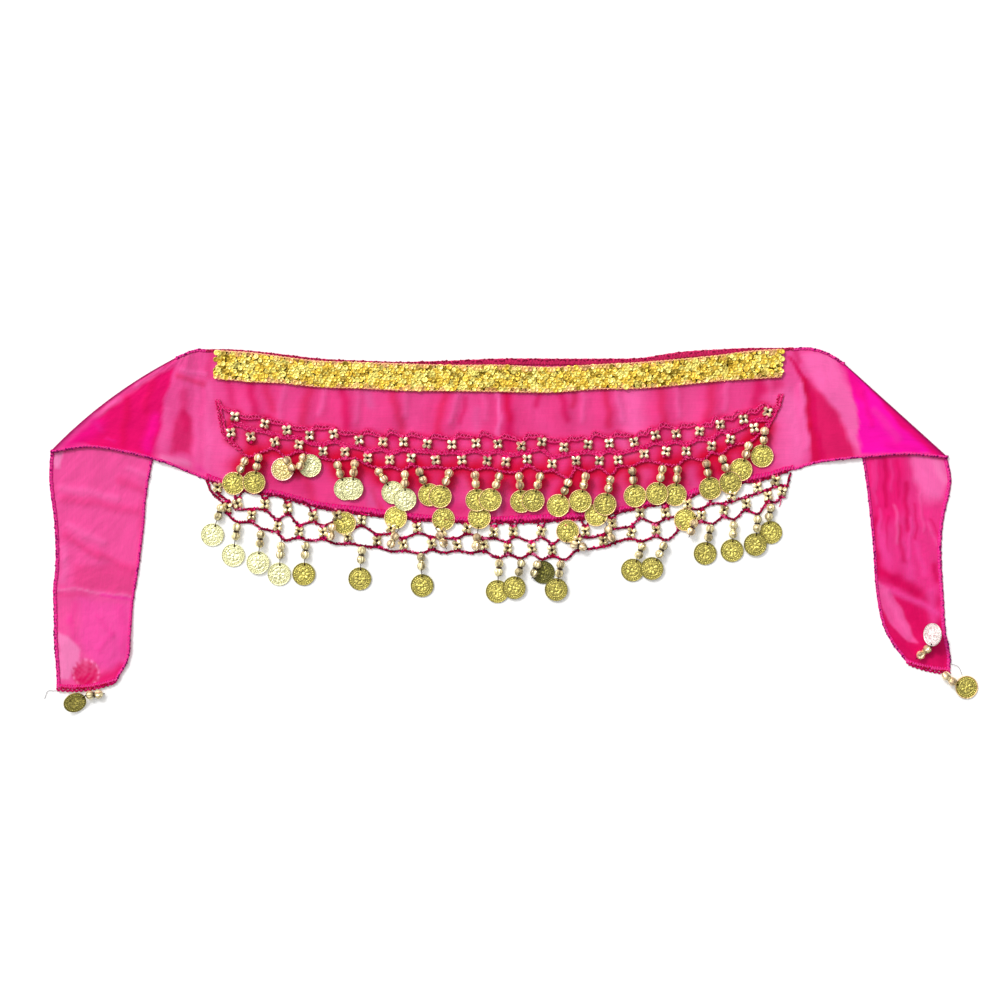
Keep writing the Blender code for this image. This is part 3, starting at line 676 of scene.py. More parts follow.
def thread_finish():
    """Thin twisted sewing thread."""
    finish = Finish("sewing_thread", {"Roughness": 0.7, "Specular IOR Level": 0.08})
    fuzz = finish.noise(finish.places(), 3.0, 2.0, 0.5)
    strands = finish.bump(finish.twist(0.7), 0.06, 0.5)
    return finish.finish(finish.tinted(finish.shade(), fuzz, 0.85, 1.15), strands)


def sequin_finish():
    """Plated plastic sequins, slightly crushed."""
    finish = Finish("sequin_gold", {"Roughness": 0.3, "Metallic": 0.4})
    crush = finish.noise(finish.places(), 0.9, 2.0, 0.5)
    return finish.finish(finish.tinted(finish.shade(), crush, 0.82, 1.12), finish.bump(crush, 0.35, 0.5))


def backing_finish():
    """The woven tape behind the sequins."""
    finish = Finish("band_tape", {"Roughness": 0.8})
    grain = finish.noise(finish.places(), 0.8)
    ribs = finish.bump(finish.wave(0, 1.2), 0.2, 0.6)
    return finish.finish(finish.tinted(finish.shade(), grain, 0.6, 1.2), ribs)


def coin_finish():
    """Stamped brass with fine chasing between the raised rings, dulled unevenly."""
    finish = Finish("coin_brass", {"Roughness": 0.34, "Metallic": 0.55})
    chasing = finish.cells(1.0)
    wear = finish.noise(finish.places(), 0.35, 4.0)
    # The chasing tints small specks lighter and darker: painted glints and shade. The wear noise is the brass
    # dulled unevenly.
    tinted = finish.tinted(finish.tinted(finish.shade(), wear, 0.8, 1.15), chasing, 1.3, 0.7)
    return finish.finish(tinted, finish.bump(wear, 0.3, 0.3, finish.bump(chasing, 0.35, 0.7)))


def bead_finish():
    """Plated round beads with a slightly uneven, faceted skin."""
    finish = Finish("bead_gold", {"Roughness": 0.2, "Metallic": 0.5})
    facets = finish.cells(0.5)
    skin = finish.noise(finish.places(), 0.5, 2.0, 0.5)
    # Each facet is painted lighter in its middle and darker at its edges: painted glints and shade.
    tinted = finish.tinted(finish.tinted(finish.shade(), skin, 0.85, 1.1), facets, 1.7, 0.55)
    return finish.finish(tinted, finish.bump(facets, 1.4, 1.0))


def add_floor():
    corners = [(-FLOOR_REACH, -FLOOR_REACH, FLOOR_Z), (FLOOR_REACH, -FLOOR_REACH, FLOOR_Z),
               (FLOOR_REACH, FLOOR_REACH, FLOOR_Z), (-FLOOR_REACH, FLOOR_REACH, FLOOR_Z)]
    mesh = bpy.data.meshes.new("floor")
    mesh.from_pydata(corners, [], [(0, 1, 2, 3)])
    mesh.materials.append(Finish("floor_white", {
        "Base Color": (0.93, 0.93, 0.93, 1.0), "Roughness": 0.9, "Specular IOR Level": 0.0,
        "Emission Color": (1.0, 1.0, 1.0, 1.0), "Emission Strength": 0.13}).material)
    floor = bpy.data.objects.new("floor", mesh)
    bpy.context.scene.collection.objects.link(floor)


# ---- Mesh making ----


class Heap:
    """Points, faces, shades and flat coordinates gathered for one piece, in millimetres."""

    def __init__(self):
        self.points, self.faces, self.slots, self.shades, self.flats = [], [], [], [], []
        self.count = 0

    def add(self, points, face_groups, colour, slot=0, flat=None):
        points = np.asarray(points, float).reshape(-1, 3)
        colour = np.asarray(colour, float)
        shades = np.ones((len(points), 4))
        shades[:, : colour.shape[-1]] = colour
        self.points.append(points)
        self.shades.append(shades)
        self.flats.append(points[:, :2] if flat is None else np.asarray(flat, float).reshape(-1, 2))
        for group in face_groups:
            self.faces += (np.asarray(group) + self.count).tolist()
            self.slots += [slot] * len(group)
        self.count += len(points)

    def piece(self, name, materials, slot, replaces=()):
        mesh = bpy.data.meshes.new(name)
        mesh.from_pydata((np.concatenate(self.points) * MM).tolist(), [], self.faces)
        for material in materials:
            mesh.materials.append(material)
        mesh.polygons.foreach_set("material_index", np.array(self.slots, np.int32))
        mesh.polygons.foreach_set("use_smooth", np.full(len(mesh.polygons), True))
        layer = mesh.color_attributes.new("shade", "FLOAT_COLOR", "POINT")
        layer.data.foreach_set("color", np.concatenate(self.shades).astype(np.float32).ravel())
        corners = np.empty(len(mesh.loops), np.int32)
        mesh.loops.foreach_get("vertex_index", corners)
        flats = np.concatenate(self.flats)[corners] * MM
        mesh.uv_layers.new(name="flat").data.foreach_set("uv", flats.astype(np.float32).ravel())
        mesh.update()
        piece = bpy.data.objects.new(name, mesh)
        bpy.context.scene.collection.objects.link(piece)
        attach(piece, "root")
        if replaces:
            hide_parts(*replaces)
        return piece


def unit(vectors):
    return vectors / np.maximum(np.linalg.norm(vectors, axis=-1, keepdims=True), 1e-9)


def hump(distance, reach):
    """1 at no distance, 0 from the reach on, with a smooth fall between."""
    return np.cos(np.clip(distance / reach, 0.0, 1.0) * math.pi / 2) ** 2


def path_lengths(path):
    """How far along a path each of its points lies."""
    return np.concatenate([[0.0], np.cumsum(np.linalg.norm(np.diff(path, axis=0), axis=1))])


def on_curve(places, values, wanted):
    """The values at the wanted places, on smooth curves through the given ones."""
    slopes = np.gradient(values, places, axis=0)
    index = np.clip(np.searchsorted(places, wanted, side="right") - 1, 0, len(places) - 2)
    span = places[index + 1] - places[index]
    t = (wanted - places[index]) / span
    if values.ndim > 1:
        span, t = span[:, None], t[:, None]
    start = (1 + 2 * t) * (1 - t) ** 2 * values[index] + t * (1 - t) ** 2 * span * slopes[index]
    return start + ((3 - 2 * t) * t**2 * values[index + 1] - (1 - t) * t**2 * span * slopes[index + 1])


def smooth_path(points, step):
    """Points about one step apart on a smooth curve through the given ones."""
    points = np.asarray(points, float)
    places = path_lengths(points)
    steps = max(int(round(places[-1] / step)), 2)
    return on_curve(places, points, np.linspace(0.0, places[-1], steps + 1))


def round_angles(count):
    """Evenly spread angles round a circle."""
    return 2 * math.pi * np.arange(count) / count


def path_frames(path):
    """The side and the rise of a path at each of its points."""
    along = unit(np.gradient(path, axis=0))
    side = np.cross(along, UP)
    steep = np.linalg.norm(side, axis=1) < 0.15
    side[steep] = np.cross(along[steep], [1.0, 0.0, 0.0])
    side = unit(side)
    return side, np.cross(side, along)


def ring_quads(rings, sides):
    """The quads between rings of points."""
    start = (np.arange(rings - 1) * sides)[:, None]
    here = np.arange(sides)[None, :]
    after = (here + 1) % sides
    quads = np.stack([start + here, start + sides + here, start + sides + after, start + after], axis=-1)
    return quads.reshape(-1, 4)


def grid_quads(rows, columns):
    first = (np.arange(rows - 1)[:, None] * columns + np.arange(columns - 1)[None, :]).reshape(-1)
    return np.stack([first, first + 1, first + columns + 1, first + columns], axis=-1)


def add_tube(heap, path, radius, colour, sides=6, flatness=1.0, slot=0):
    """A closed tube along a path."""
    path = np.asarray(path, float)
    side, rise = path_frames(path)
    angles = round_angles(sides)
    radius = np.broadcast_to(np.asarray(radius, float), len(path))[:, None, None]
    ring = np.cos(angles)[None, :, None] * side[:, None, :]
    ring = ring + np.sin(angles)[None, :, None] * rise[:, None, :] * flatness
    around = np.arange(sides)[None, :] / sides
    flat = np.stack(np.broadcast_arrays(path_lengths(path)[:, None], around), axis=-1)
    ends = [list(range(sides)), [len(path) * sides - 1 - index for index in range(sides)]]
    heap.add(path[:, None, :] + ring * radius, [ring_quads(len(path), sides), ends], colour, slot, flat)


def add_braid(heap, path, braid, colours, phase=0.0):
    """Three strands that cross over each other along a path, as a crochet chain does."""
    path = np.asarray(path, float)
    side, rise = path_frames(path)
    places = path_lengths(path)
    for strand in range(3):
        turn = (2 * math.pi * (places / braid.pitch + strand / 3.0) + phase)[:, None]
        aside, above = side * np.sin(turn) * braid.width / 2, rise * np.sin(2 * turn) * braid.radius * 0.9
        add_tube(heap, path + aside + above, braid.radius, colours[strand % len(colours)], STRAND_SIDES)


def lathe(profile, sides):
    """Points and quads of a profile of (radius, height) rows turned round Z."""
    profile = np.asarray(profile, float)
    angles = round_angles(sides)
    x, y = profile[:, :1] * np.cos(angles), profile[:, :1] * np.sin(angles)
    points = np.stack([x, y, np.repeat(profile[:, 1:], sides, axis=1)], axis=-1).reshape(-1, 3)
    return points, ring_quads(len(profile), sides)[:, [0, 3, 2, 1]]


def nub_shape(radius):
    """A small knot of yarn."""
    waist = 0.75 * radius
    return lathe([(0.02, -0.7), (waist, -0.45), (radius, 0.0), (waist, 0.45), (0.02, 0.7)], 6)


def add_copies(heap, shape, centres, turns, colours, slot=0):
    """Copies of a shape, each turned by a 3x3 matrix and moved to a centre."""
    points, faces = shape[:2]
    centres = np.asarray(centres, float)
    placed = np.einsum("kij,mj->kmi", turns, points) + centres[:, None, :]
    shift = (np.arange(len(centres)) * len(points))[:, None, None]
    colours = np.repeat(np.asarray(colours, float), len(points), axis=0)
    if len(shape) > 2:
        colours = colours * np.tile(shape[2], (len(centres), 1))
    flat = np.repeat(centres[:, :2], len(points), axis=0) + np.tile(points[:, :2], (len(centres), 1))
    heap.add(placed, [(faces[None] + shift).reshape(-1, faces.shape[1])], colours, slot, flat)


def bead_shape(radius, hole, sides, steps):
    """A round bead with a hole along Z."""
    low = math.acos(hole / radius)
    angles = np.linspace(-low, low, steps)
    outside = [(radius * math.cos(angle), radius * math.sin(angle)) for angle in angles]
    inside = [(hole * 0.96, radius * math.sin(low) * 0.6), (hole * 0.96, -radius * math.sin(low) * 0.6)]
    return lathe(outside + inside + outside[:1], sides)


def turn_z(angle):
    c, s = math.cos(angle), math.sin(angle)
    return np.array([[c, -s, 0.0], [s, c, 0.0], [0.0, 0.0, 1.0]])


def axes_to(along):
    """A 3x3 matrix whose Z is along and whose X is as near up as it can be."""
    along = unit(np.asarray(along, float))
    side = unit(np.cross(along, UP))
    return np.stack([np.cross(side, along), side, along], axis=1)


# ---- Cloth ----

PANEL_GRID = (222, 67)  # points along the panel, and across it
TIE_GRID = (1.8, 57)  # the step along a tie, and the points across it
TIE_WIDTH = 97.0
STRAP, TURN, TAIL = range(3)  # the strap, the fold at its end, and the tail that hangs from it
PART_UNDER_TAIL = 0.6  # the share of the strap after which it lies on the tail
LACE_PRESS = (8.0, 0.25)  # how far over the upper lace's low line the creases rise, and their least share
PRESSED = (-2.0, 205.0, 12.0)  # the middle of what the lace presses, its half length and its soft end
DOWN = np.array([0.0, -1.0, 0.0])


def far_from(points, start, run):
    """How far each point is from the line that runs on from its start."""
    t = np.clip(((points - start) @ run) / max(run @ run, 1e-6), 0.0, 1.0)
    return np.linalg.norm(points - start - t[:, None] * run, axis=1)


def streak(points, row):
    """1 in the middle of a streak, 0 from its reach on, for each point."""
    start, end = np.array([row.x, row.y], float), np.array([row.x2, row.y2], float)
    return hump(far_from(points, start, end - start), row.reach)


def inside_share(points, corners, softness):
    """1 well inside the outline, 0 well outside it."""
    corners = np.asarray(corners, float)
    inside = np.zeros(len(points), bool)
    nearest = np.full(len(points), 1e9)
    for start, end in zip(corners, np.roll(corners, -1, axis=0)):
        run = end - start
        nearest = np.minimum(nearest, far_from(points, start, run))
        crosses = (start[1] > points[:, 1]) != (end[1] > points[:, 1])
        rise = np.where(end[1] == start[1], 1e-9, end[1] - start[1])
        inside ^= crosses & (points[:, 0] < start[0] + (points[:, 1] - start[1]) * run[0] / rise)
    share = np.clip(0.5 + np.where(inside, nearest, -nearest) / (2 * softness), 0.0, 1.0)
    return share * share * (3 - 2 * share)


def drifted(points):
    """The places moved a little to and fro, so that no fold runs quite straight."""
    x, y = points[:, 0], points[:, 1]
    wander_x = np.sin(0.19 * y + 0.07 * x) + 0.6 * np.sin(0.43 * y - 0.11 * x + 1.0)
    wander_y = np.sin(0.17 * x + 0.05 * y + 2.0) + 0.6 * np.sin(0.37 * x + 0.21 * y)
    return points + 0.75 * np.stack([wander_x, wander_y], axis=1)


def shaded_cloth(points, folds, base, patches):
    """The lift, and the colour and density, that the folds and patches give the cloth at each (x, y); part of
    the colour is painted highlight and shade.
    """
    lift = np.zeros(len(points))
    colour = np.tile(cloth_shade(base), (len(points), 1))
    points = drifted(points)
    shares = [(row, inside_share(points, row.corners, row.softness)) for row in patches]
    shares += [(row, streak(points, row)) for row in folds]
    for row, share in shares:
        lift += getattr(row, "height", 0.0) * share
        share = (share * row.strength)[:, None]
        colour = colour * (1 - share) + cloth_shade(row.shade) * share
    return lift, colour


def gather_height(points):
    """How far the gathers lift the body, as in the solids."""
    x, y = points[:, 0], points[:, 1]
    along = hump(abs(y - GATHER_MIDDLE), GATHER_REACH)
    t = np.clip((GATHER_MIDDLE + GATHER_REACH - y) / (2 * GATHER_REACH), 0.0, 1.0)
    total = np.zeros(len(points))
    for gather in GATHERS:
        middle = gather.x_band + t * (gather.x_lace - gather.x_band)
        total += gather.height * along * hump(abs(x - middle), gather.half_width)
    return total


def lift_at(x, y):
    return gather_height(np.array([[x, y]]))[0]


def line_at(column, x):
    """The y of one of the body's lines at each x, on the same curve as in the solids."""
    stations = np.array([section.x for section in SECTIONS], float)
    heights = np.array([getattr(section, column) for section in SECTIONS], float)
    return on_curve(stations, heights, np.asarray(x, float))


def body_strip(x, low, top, rows):
    """The (x, y) places of a strip of the body between two lines."""
    y = low + np.linspace(0.0, 1.0, rows)[:, None] * (top - low)
    return np.stack([np.broadcast_to(x, y.shape), y], axis=-1).reshape(-1, 2)


def add_hem(heap, edge, inward, width, hem):
    """An overlocked edge: a rolled strip of cloth, a thread wound round it, and dashes at its outside."""
    inward = unit(inward)
    width = np.broadcast_to(width, len(edge))
    places = path_lengths(edge)
    wobble = 0.2 * np.sin(places * 0.9) + 0.14 * np.sin(places * 2.3 + 1.0)
    middle = edge + inward * (width / 2 + wobble)[:, None]
    add_tube(heap, middle, width / 2, linear(hem.cloth), 8, hem.thick / max(width))

    def along(stops, share):
        spots, turned = (np.stack([np.interp(stops, places, line) for line in lines.T], axis=1)
                         for lines in (edge, inward))
        spots = spots + turned * (share * np.interp(stops, places, width))[:, None]
        spots[:, 2] += hem.thick * (0.62 - 1.7 * (share - 0.5) ** 2)
        return spots, turned

    stops = np.arange(0.0, places[-1], hem.pitch / 4)
    swing = 0.46 * np.cos(2 * math.pi * stops / hem.pitch) * (1 + 0.12 * np.sin(stops * 1.7))
    add_tube(heap, along(stops, 0.5 + swing)[0], 0.28, linear(hem.thread), 4, slot=1)
    stops = np.arange(hem.pitch, places[-1] - hem.pitch, hem.pitch * 1.25)
    stops = stops + 0.5 * np.sin(stops * 5.1)
    spots, turned = along(stops, 0.2 + 0.14 * np.sin(stops * 3.3))
    onward = unit(np.cross(turned, UP) + turned * (0.6 * np.sin(stops * 1.3))[:, None])
    dash = lathe([(0.03, -0.62), (0.3, -0.4), (0.34, 0.0), (0.3, 0.4), (0.03, 0.62)], 5)
    turns = np.array([axes_to(way) for way in onward])
    turns = turns * (hem.dash * (1.0 + 0.35 * np.sin(stops * 2.9)))[:, None, None]
    add_copies(heap, dash, spots, turns, np.tile(linear(hem.dashes), (len(spots), 1)), 1)


def add_loops(heap, edge, inward, size, pitch, colours):
    """Small crochet loops that stand out from an edge."""
    edge = smooth_path(edge, 0.5)
    wave = abs(np.sin(math.pi * path_lengths(edge) / pitch))[:, None]
    add_braid(heap, edge - unit(np.mean(inward, axis=0)) * wave * size, TIP_LOOPS, colours)


def panel_shadows():
    """Painted shadows: the panel turned crimson and deep beside the upper lace's flowers, threads and ropes.
    """
    drops = [drop for name, drop in DROPS.items() if name.startswith("upper_drop")]
    rows = [(x, y + 1.0, x, y - 3.0, 9.0, 0.0, "crimson", 0.8) for x, y in UPPER_ROW_ONE]
    rows += [(x, y + 3.0, x, y - 5.0, 10.0, 0.0, "crimson", 0.9) for x, y in UPPER_ROW_TWO]
    for reach, strength in ((14.0, 0.8), (10.0, 0.95)):
        rows += [(*drop.anchor[:2], *drop.beads[1][:2], reach, 0.0, "crimson", strength) for drop in drops]
    for line, shade in ((top_rope(np.random.default_rng(SEED))[1], "deep"), (LACE_LOW, "crimson")):
        rows += [(*spot, *after, 4.5, 0.0, shade, 0.6) for spot, after in zip(line, line[1:])]
    return [Fold(*row) for row in rows]


def make_panel(cloth, edging):
    columns, rows = PANEL_GRID
    x = np.linspace(BODY_LEFT, BODY_RIGHT, columns)
    points = body_strip(x, line_at("hem", x), line_at("waist", x), rows)
    lift, colours = shaded_cloth(points, BODY_FOLDS + panel_shadows(), "rose", BODY_PATCHES)
    x, y = points.T
    rise, least = LACE_PRESS
    middle, half, soft = PRESSED
    clear = np.clip((y - np.interp(x, *np.array(LACE_LOW).T)) / rise, least, 1.0)
    clear = np.maximum(clear, np.clip((abs(x - middle) - half) / soft, 0.0, 1.0))
    height = CLOTH_MIDDLE + gather_height(points) + lift * clear
    grid = np.concatenate([points, height[:, None]], axis=1).reshape(rows, columns, 3)
    heap = Heap()
    heap.add(grid, [grid_quads(rows, columns)], colours, 0, points)
    panel = heap.piece("panel_chiffon", [cloth], "chiffon", ["body_panel"])
    hems = Heap()
    waist, low = (smooth_path(edge + [0, 0, 0.4], 1.0) for edge in (grid[-1], grid[0]))
    over_band = line_at("waist", waist[:, 0]) - line_at("band_top", waist[:, 0])
    width = np.clip(over_band + 0.6, 2.1, 5.0)
    add_hem(hems, waist, np.tile(DOWN, (len(waist), 1)), width, WAIST_HEM)
    width = 4.3 + 0.8 * np.sin(low[:, 0] / 21.0)
    add_hem(hems, low, np.tile(-DOWN, (len(low), 1)), width, BODY_HEM)
    return panel, hems.piece("panel_hems", edging, "chiffon")


def smooth_rows(rows):
    """The rows of a tie, filled in on smooth curves."""
    rows = np.array(rows, float)
    places = path_lengths((rows[:, :2] + rows[:, 2:4]) / 2)
    wanted = np.linspace(0.0, places[-1], int(places[-1] / TIE_GRID[0]) + 1)
    filled = on_curve(places, rows, wanted)
    filled[:, 4] = np.interp(wanted, places, rows[:, 4])
    return filled


def tie_section(row, outward, offset, height):
    hem_end = row[:2]
    across = row[2:4] - hem_end
    out = unit(np.array([-across[1], across[0]])) * outward
    t = np.linspace(0.0, 1.0, TIE_GRID[1])[:, None]
    plan = hem_end + across * t + out * (offset + row[5] * 4 * t * (1 - t))
    return np.concatenate([plan, np.full((TIE_GRID[1], 1), height)], axis=1)


def tie_grid(strap, tail, outward):
    """The middle surface of a tie as a grid, and which layer each of its rows is in."""
    strap_rows, tail_rows = smooth_rows(strap + tail[:1]), smooth_rows(tail)
    on_tail = PART_UNDER_TAIL * (len(strap_rows) - 1)
    sections = [(STRAP, row, 0.0, (STRAP_REST if index > on_tail else row[4]) + CLOTH_MIDDLE)
                for index, row in enumerate(strap_rows)]
    sections += [(TURN, tail_rows[0], math.sin(angle), CLOTH_MIDDLE + STRAP_REST / 2 + math.cos(angle))
                 for angle in np.linspace(0.0, math.pi, 9)[1:-1]]
    sections += [(TAIL, row, 0.0, row[4] + CLOTH_MIDDLE) for row in tail_rows]
    grid = np.array([tie_section(row, outward, offset, height) for _, row, offset, height in sections])
    return grid, np.array([section[0] for section in sections])


def make_tie(name, strap, tail, outward, tail_look, cloth, edging):
    grid, layer = tie_grid(strap, tail, outward)
    columns = grid.shape[1]
    widths = np.linspace(0.0, 1.0, columns) * TIE_WIDTH
    flat = np.stack(np.broadcast_arrays(path_lengths(grid.mean(axis=1))[:, None], widths[None, :]), axis=-1)
    colours = np.empty((len(grid), columns, 4))
    for chosen, look in ((layer < TAIL, (BODY_FOLDS, "rose", BODY_PATCHES)), (layer == TAIL, tail_look)):
        lift, colour = shaded_cloth(grid[chosen][..., :2].reshape(-1, 2), *look)
        settle = np.where(layer[chosen] == TURN, 0.0, 1.0)
        grid[chosen, :, 2] += lift.reshape(-1, columns) * settle[:, None]
        colours[chosen] = colour.reshape(-1, columns, 4)
    last = np.flatnonzero(layer == STRAP)[-1]
    for rows, share in ((layer == TURN, 0.92), (last, 0.85), (last - 1, 0.3)):
        colours[rows] = (1 - share) * colours[rows] + share * cloth_shade("fold_edge")
    show_coin(grid, colours, DROPS["left_tie_coin"].centre)
    heap = Heap()
    heap.add(grid, [grid_quads(len(grid), columns)], colours.reshape(-1, 4), 0, flat)
    sheet = heap.piece(name + "_chiffon", [cloth], "chiffon", [name])
    hems = Heap()
    for column, inner, width in ((0, 3, np.where(layer < TAIL, 2.0, 2.9)), (-1, -4, 2.2)):
        inward = grid[:, inner] - grid[:, column]
        add_hem(hems, grid[:, column] + [0, 0, 0.2], inward, width, TIE_HEM)
    tip, inward = grid[-1], grid[-4] - grid[-1]
    add_hem(hems, tip + [0, 0, 0.2], inward, 3.4, TIP_HEM)
    add_loops(hems, tip, inward, 1.7, 3.4, [linear("hem_hot"), linear("yarn_red")])
    return sheet, hems.piece(name + "_hems", edging, "chiffon")


def show_coin(grid, colours, centre):
    """Tint the cloth over a coin that lies under it, with the coin's rim and dots showing through: a deeper
    disc with painted highlights on the dots round its rim and on its upper side.
    """
    away = grid[..., :2] - centre[:2] + [1.0, 1.0]
    x, y = away[..., 0], away[..., 1]
    reach = np.linalg.norm(away, axis=-1)
    share = np.clip(11.2 - reach, 0.0, 1.0)[..., None]
    # mottle: the coin's relief, with a painted highlight growing towards its upper side; ring: painted
    # highlights on the dots round the rim
    mottle = 0.5 + 0.5 * np.sin(0.9 * x + 0.7 * y) * np.sin(1.3 * y - 0.6 * reach) + y / 14.0
    ring = np.exp(-(((reach - 9.7) / 0.9) ** 2)) * (0.45 + 0.35 * np.sin(13 * np.arctan2(y, x)))
    bright = np.clip(0.24 * mottle + ring, 0.0, 1.0)[..., None]
    shade = np.array([*linear("deep"), 1.0]) * (1 - bright) + np.array([*linear("pale"), 1.0]) * bright
    colours[:] = colours * (1 - share) + shade * share


# ---- Coin drops ----

DropPlace = namedtuple("DropPlace", "centre axes beads along anchor")


def read_drop(node):
    """Where a drop's coin and beads lie, worked out from its solid."""
    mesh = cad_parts[node].data
    points = np.empty(len(mesh.vertices) * 3, np.float32)
    mesh.vertices.foreach_get("co", points)
    points = points.reshape(-1, 3) / MM
    normals = np.array([face.normal[:] for face in mesh.polygons])
    areas = np.array([face.area for face in mesh.polygons])
    alike = abs(normals @ normals.T) > 0.9995
    best = (alike @ areas).argmax()
    axis = normals[best] * (1.0 if normals[best][2] >= 0 else -1.0)
    used = {corner for face, same in zip(mesh.polygons, alike[best]) if same for corner in face.vertices}
    coin = points[sorted(used)]
    heights = coin @ axis
    side = unit(np.cross(axis, [0.0, 1.0, 0.0]))
    front = np.cross(axis, side)
    in_plane = np.stack([coin @ side, coin @ front], axis=1)
    near = np.linalg.norm(in_plane - np.median(in_plane, axis=0), axis=1) < 2.2 * COIN_RADIUS
    in_plane = in_plane[near]
    middle = (in_plane.max(axis=0) + in_plane.min(axis=0)) / 2
    level = (heights[near].max() + heights[near].min()) / 2
    centre = side * middle[0] + front * middle[1] + axis * level
    reach = np.linalg.norm(in_plane - middle, axis=1)
    inner = in_plane[reach < COIN_RADIUS * 0.992].mean(axis=0) - middle
    to_hole = unit(side * inner[0] + front * inner[1])
    axes = np.stack([to_hole, np.cross(axis, to_hole), axis], axis=1)
    off_coin = abs((points - centre) @ axis) > 0.6
    off_coin |= np.linalg.norm(points - centre, axis=1) > COIN_RADIUS + 0.4
    others = np.unique(np.round(points[off_coin], 2), axis=0)
    hole = centre + to_hole * COIN_RADIUS
    top = others[:, 2].max()
    if top - others[:, 2].min() < BEAD_RADIUS:
        return DropPlace(centre, axes, [], -to_hole, hole + to_hole * 3.0)
    tops = others[others[:, 2] > top - 0.06]
    tops = tops[np.argsort(-np.linalg.norm(tops[:, :2] - hole[:2], axis=1))]
    first, second = (pair.mean(axis=0) - [0, 0, BEAD_RADIUS] for pair in (tops[:2], tops[-2:]))
    along = unit(second - first)
    return DropPlace(centre, axes, [first, second], along, first - along * (BEAD_RADIUS + 0.9))


DROP_NODES = [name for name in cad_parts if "drop" in name or name == "left_tie_coin"]
DROPS = {name: read_drop(name) for name in sorted(DROP_NODES)}
LACE_LOW = sorted(tuple(drop.anchor[:2]) for name, drop in DROPS.items() if name.startswith("upper"))

COIN_SIDES = 64
COIN_ANGLES = round_angles(COIN_SIDES)
COIN_FACE = 0.3  # the level of the plain ground over the coin's middle plane
COIN_STATIONS = [*np.arange(0.0, 5.3, 0.45), 5.3, 5.55, 5.8, 6.05, 6.4, 6.9,
                 7.4, 7.65, 7.85, 8.05, 8.3, 8.5, 8.62]
COIN_BACK = [(8.62, -0.2), (8.5, -0.4), (4.0, -0.4), (0.1, -0.4)]  # radius, height
BOSS, ROSETTE, CHASED, INNER_CIRCLE, DOT_CIRCLE, RIM_START, RIM = 1.3, 4.9, 5.2, 5.55, 6.85, 7.9, 8.3
CHASE_MARKS, CHASE_REACH = 34, 5.4  # punch marks, and how far out they lie
DOT_PLACES = 26
DOTLESS = 0.3  # half the angle that the dots leave free at the hole
HOLE_PLACE = 7.1
BEAD_GAP = 0.35  # how far the second bead has slid down its thread
THREAD_RADIUS = 0.3


def circle(radius, height=0.0, angles=COIN_ANGLES):
    x, y = radius * np.cos(angles), radius * np.sin(angles)
    return np.stack([x, y, np.full(len(angles), height)], axis=1)


def coin_shape(rng, rim, ground=0.5):
    """A struck coin: a raised rim, a ring for the dots, an inner circle, a rosette and chased ground.

    Besides its points and faces it gives each point's tint: worn bright on what stands up, dark below, and on
    the rim the given tint, a painted reflection of what the coin lies on.
    """
    out, turn, size, raised = rng.uniform(0.0, 1.0, (CHASE_MARKS, 4)).T
    ways = np.stack([np.cos(6.28 * turn), np.sin(6.28 * turn)], axis=1)
    places = CHASE_REACH * np.sqrt(out)[:, None] * ways
    rows, tints = [], []
    for radius in COIN_STATIONS:
        row = circle(radius)
        height = np.zeros(COIN_SIDES)
        if radius < BOSS:
            height += 0.35
        elif radius < ROSETTE:
            petals = abs(np.cos(4 * COIN_ANGLES)) ** 0.8
            height += 0.35 * petals * math.sin(math.pi * (radius - 1.1) / 3.9)
        if radius < CHASED:
            away = np.linalg.norm(row[:, None, :2] - places[None], axis=2)
            marked = np.exp(-((away / (0.45 + 0.3 * size)) ** 2)) * np.where(raised > 0.45, 1, -1)
            height += 0.22 * np.clip(marked.sum(1), -1.2, 1.2)
        height += 0.3 * math.exp(-(((radius - INNER_CIRCLE) / 0.22) ** 2))
        height += 0.4 * math.exp(-(((radius - RIM) / 0.25) ** 2))
        tint = ground + 1.1 / ground * np.clip(height + 0.02, 0.0, 0.5)
        # The rim's tint is a painted reflection: pink-white on coins that lie on the cloth, dark on coins
        # over the white floor.
        if radius > RIM_START:
            tint = np.full(COIN_SIDES, rim)
        row[:, 2] = COIN_FACE + height
        rows.append(row)
        tints.append(np.stack([tint, tint, tint], axis=1))
        if radius > RIM_START and rim > 1.0:
            tints[-1] = tints[-1] * [1.2, 0.9, 1.9]
    rows += [circle(radius, height) for radius, height in COIN_BACK]
    tints += [np.full((COIN_SIDES, 3), 0.7)] * len(COIN_BACK)
    return np.concatenate(rows), ring_quads(len(rows), COIN_SIDES), np.concatenate(tints)


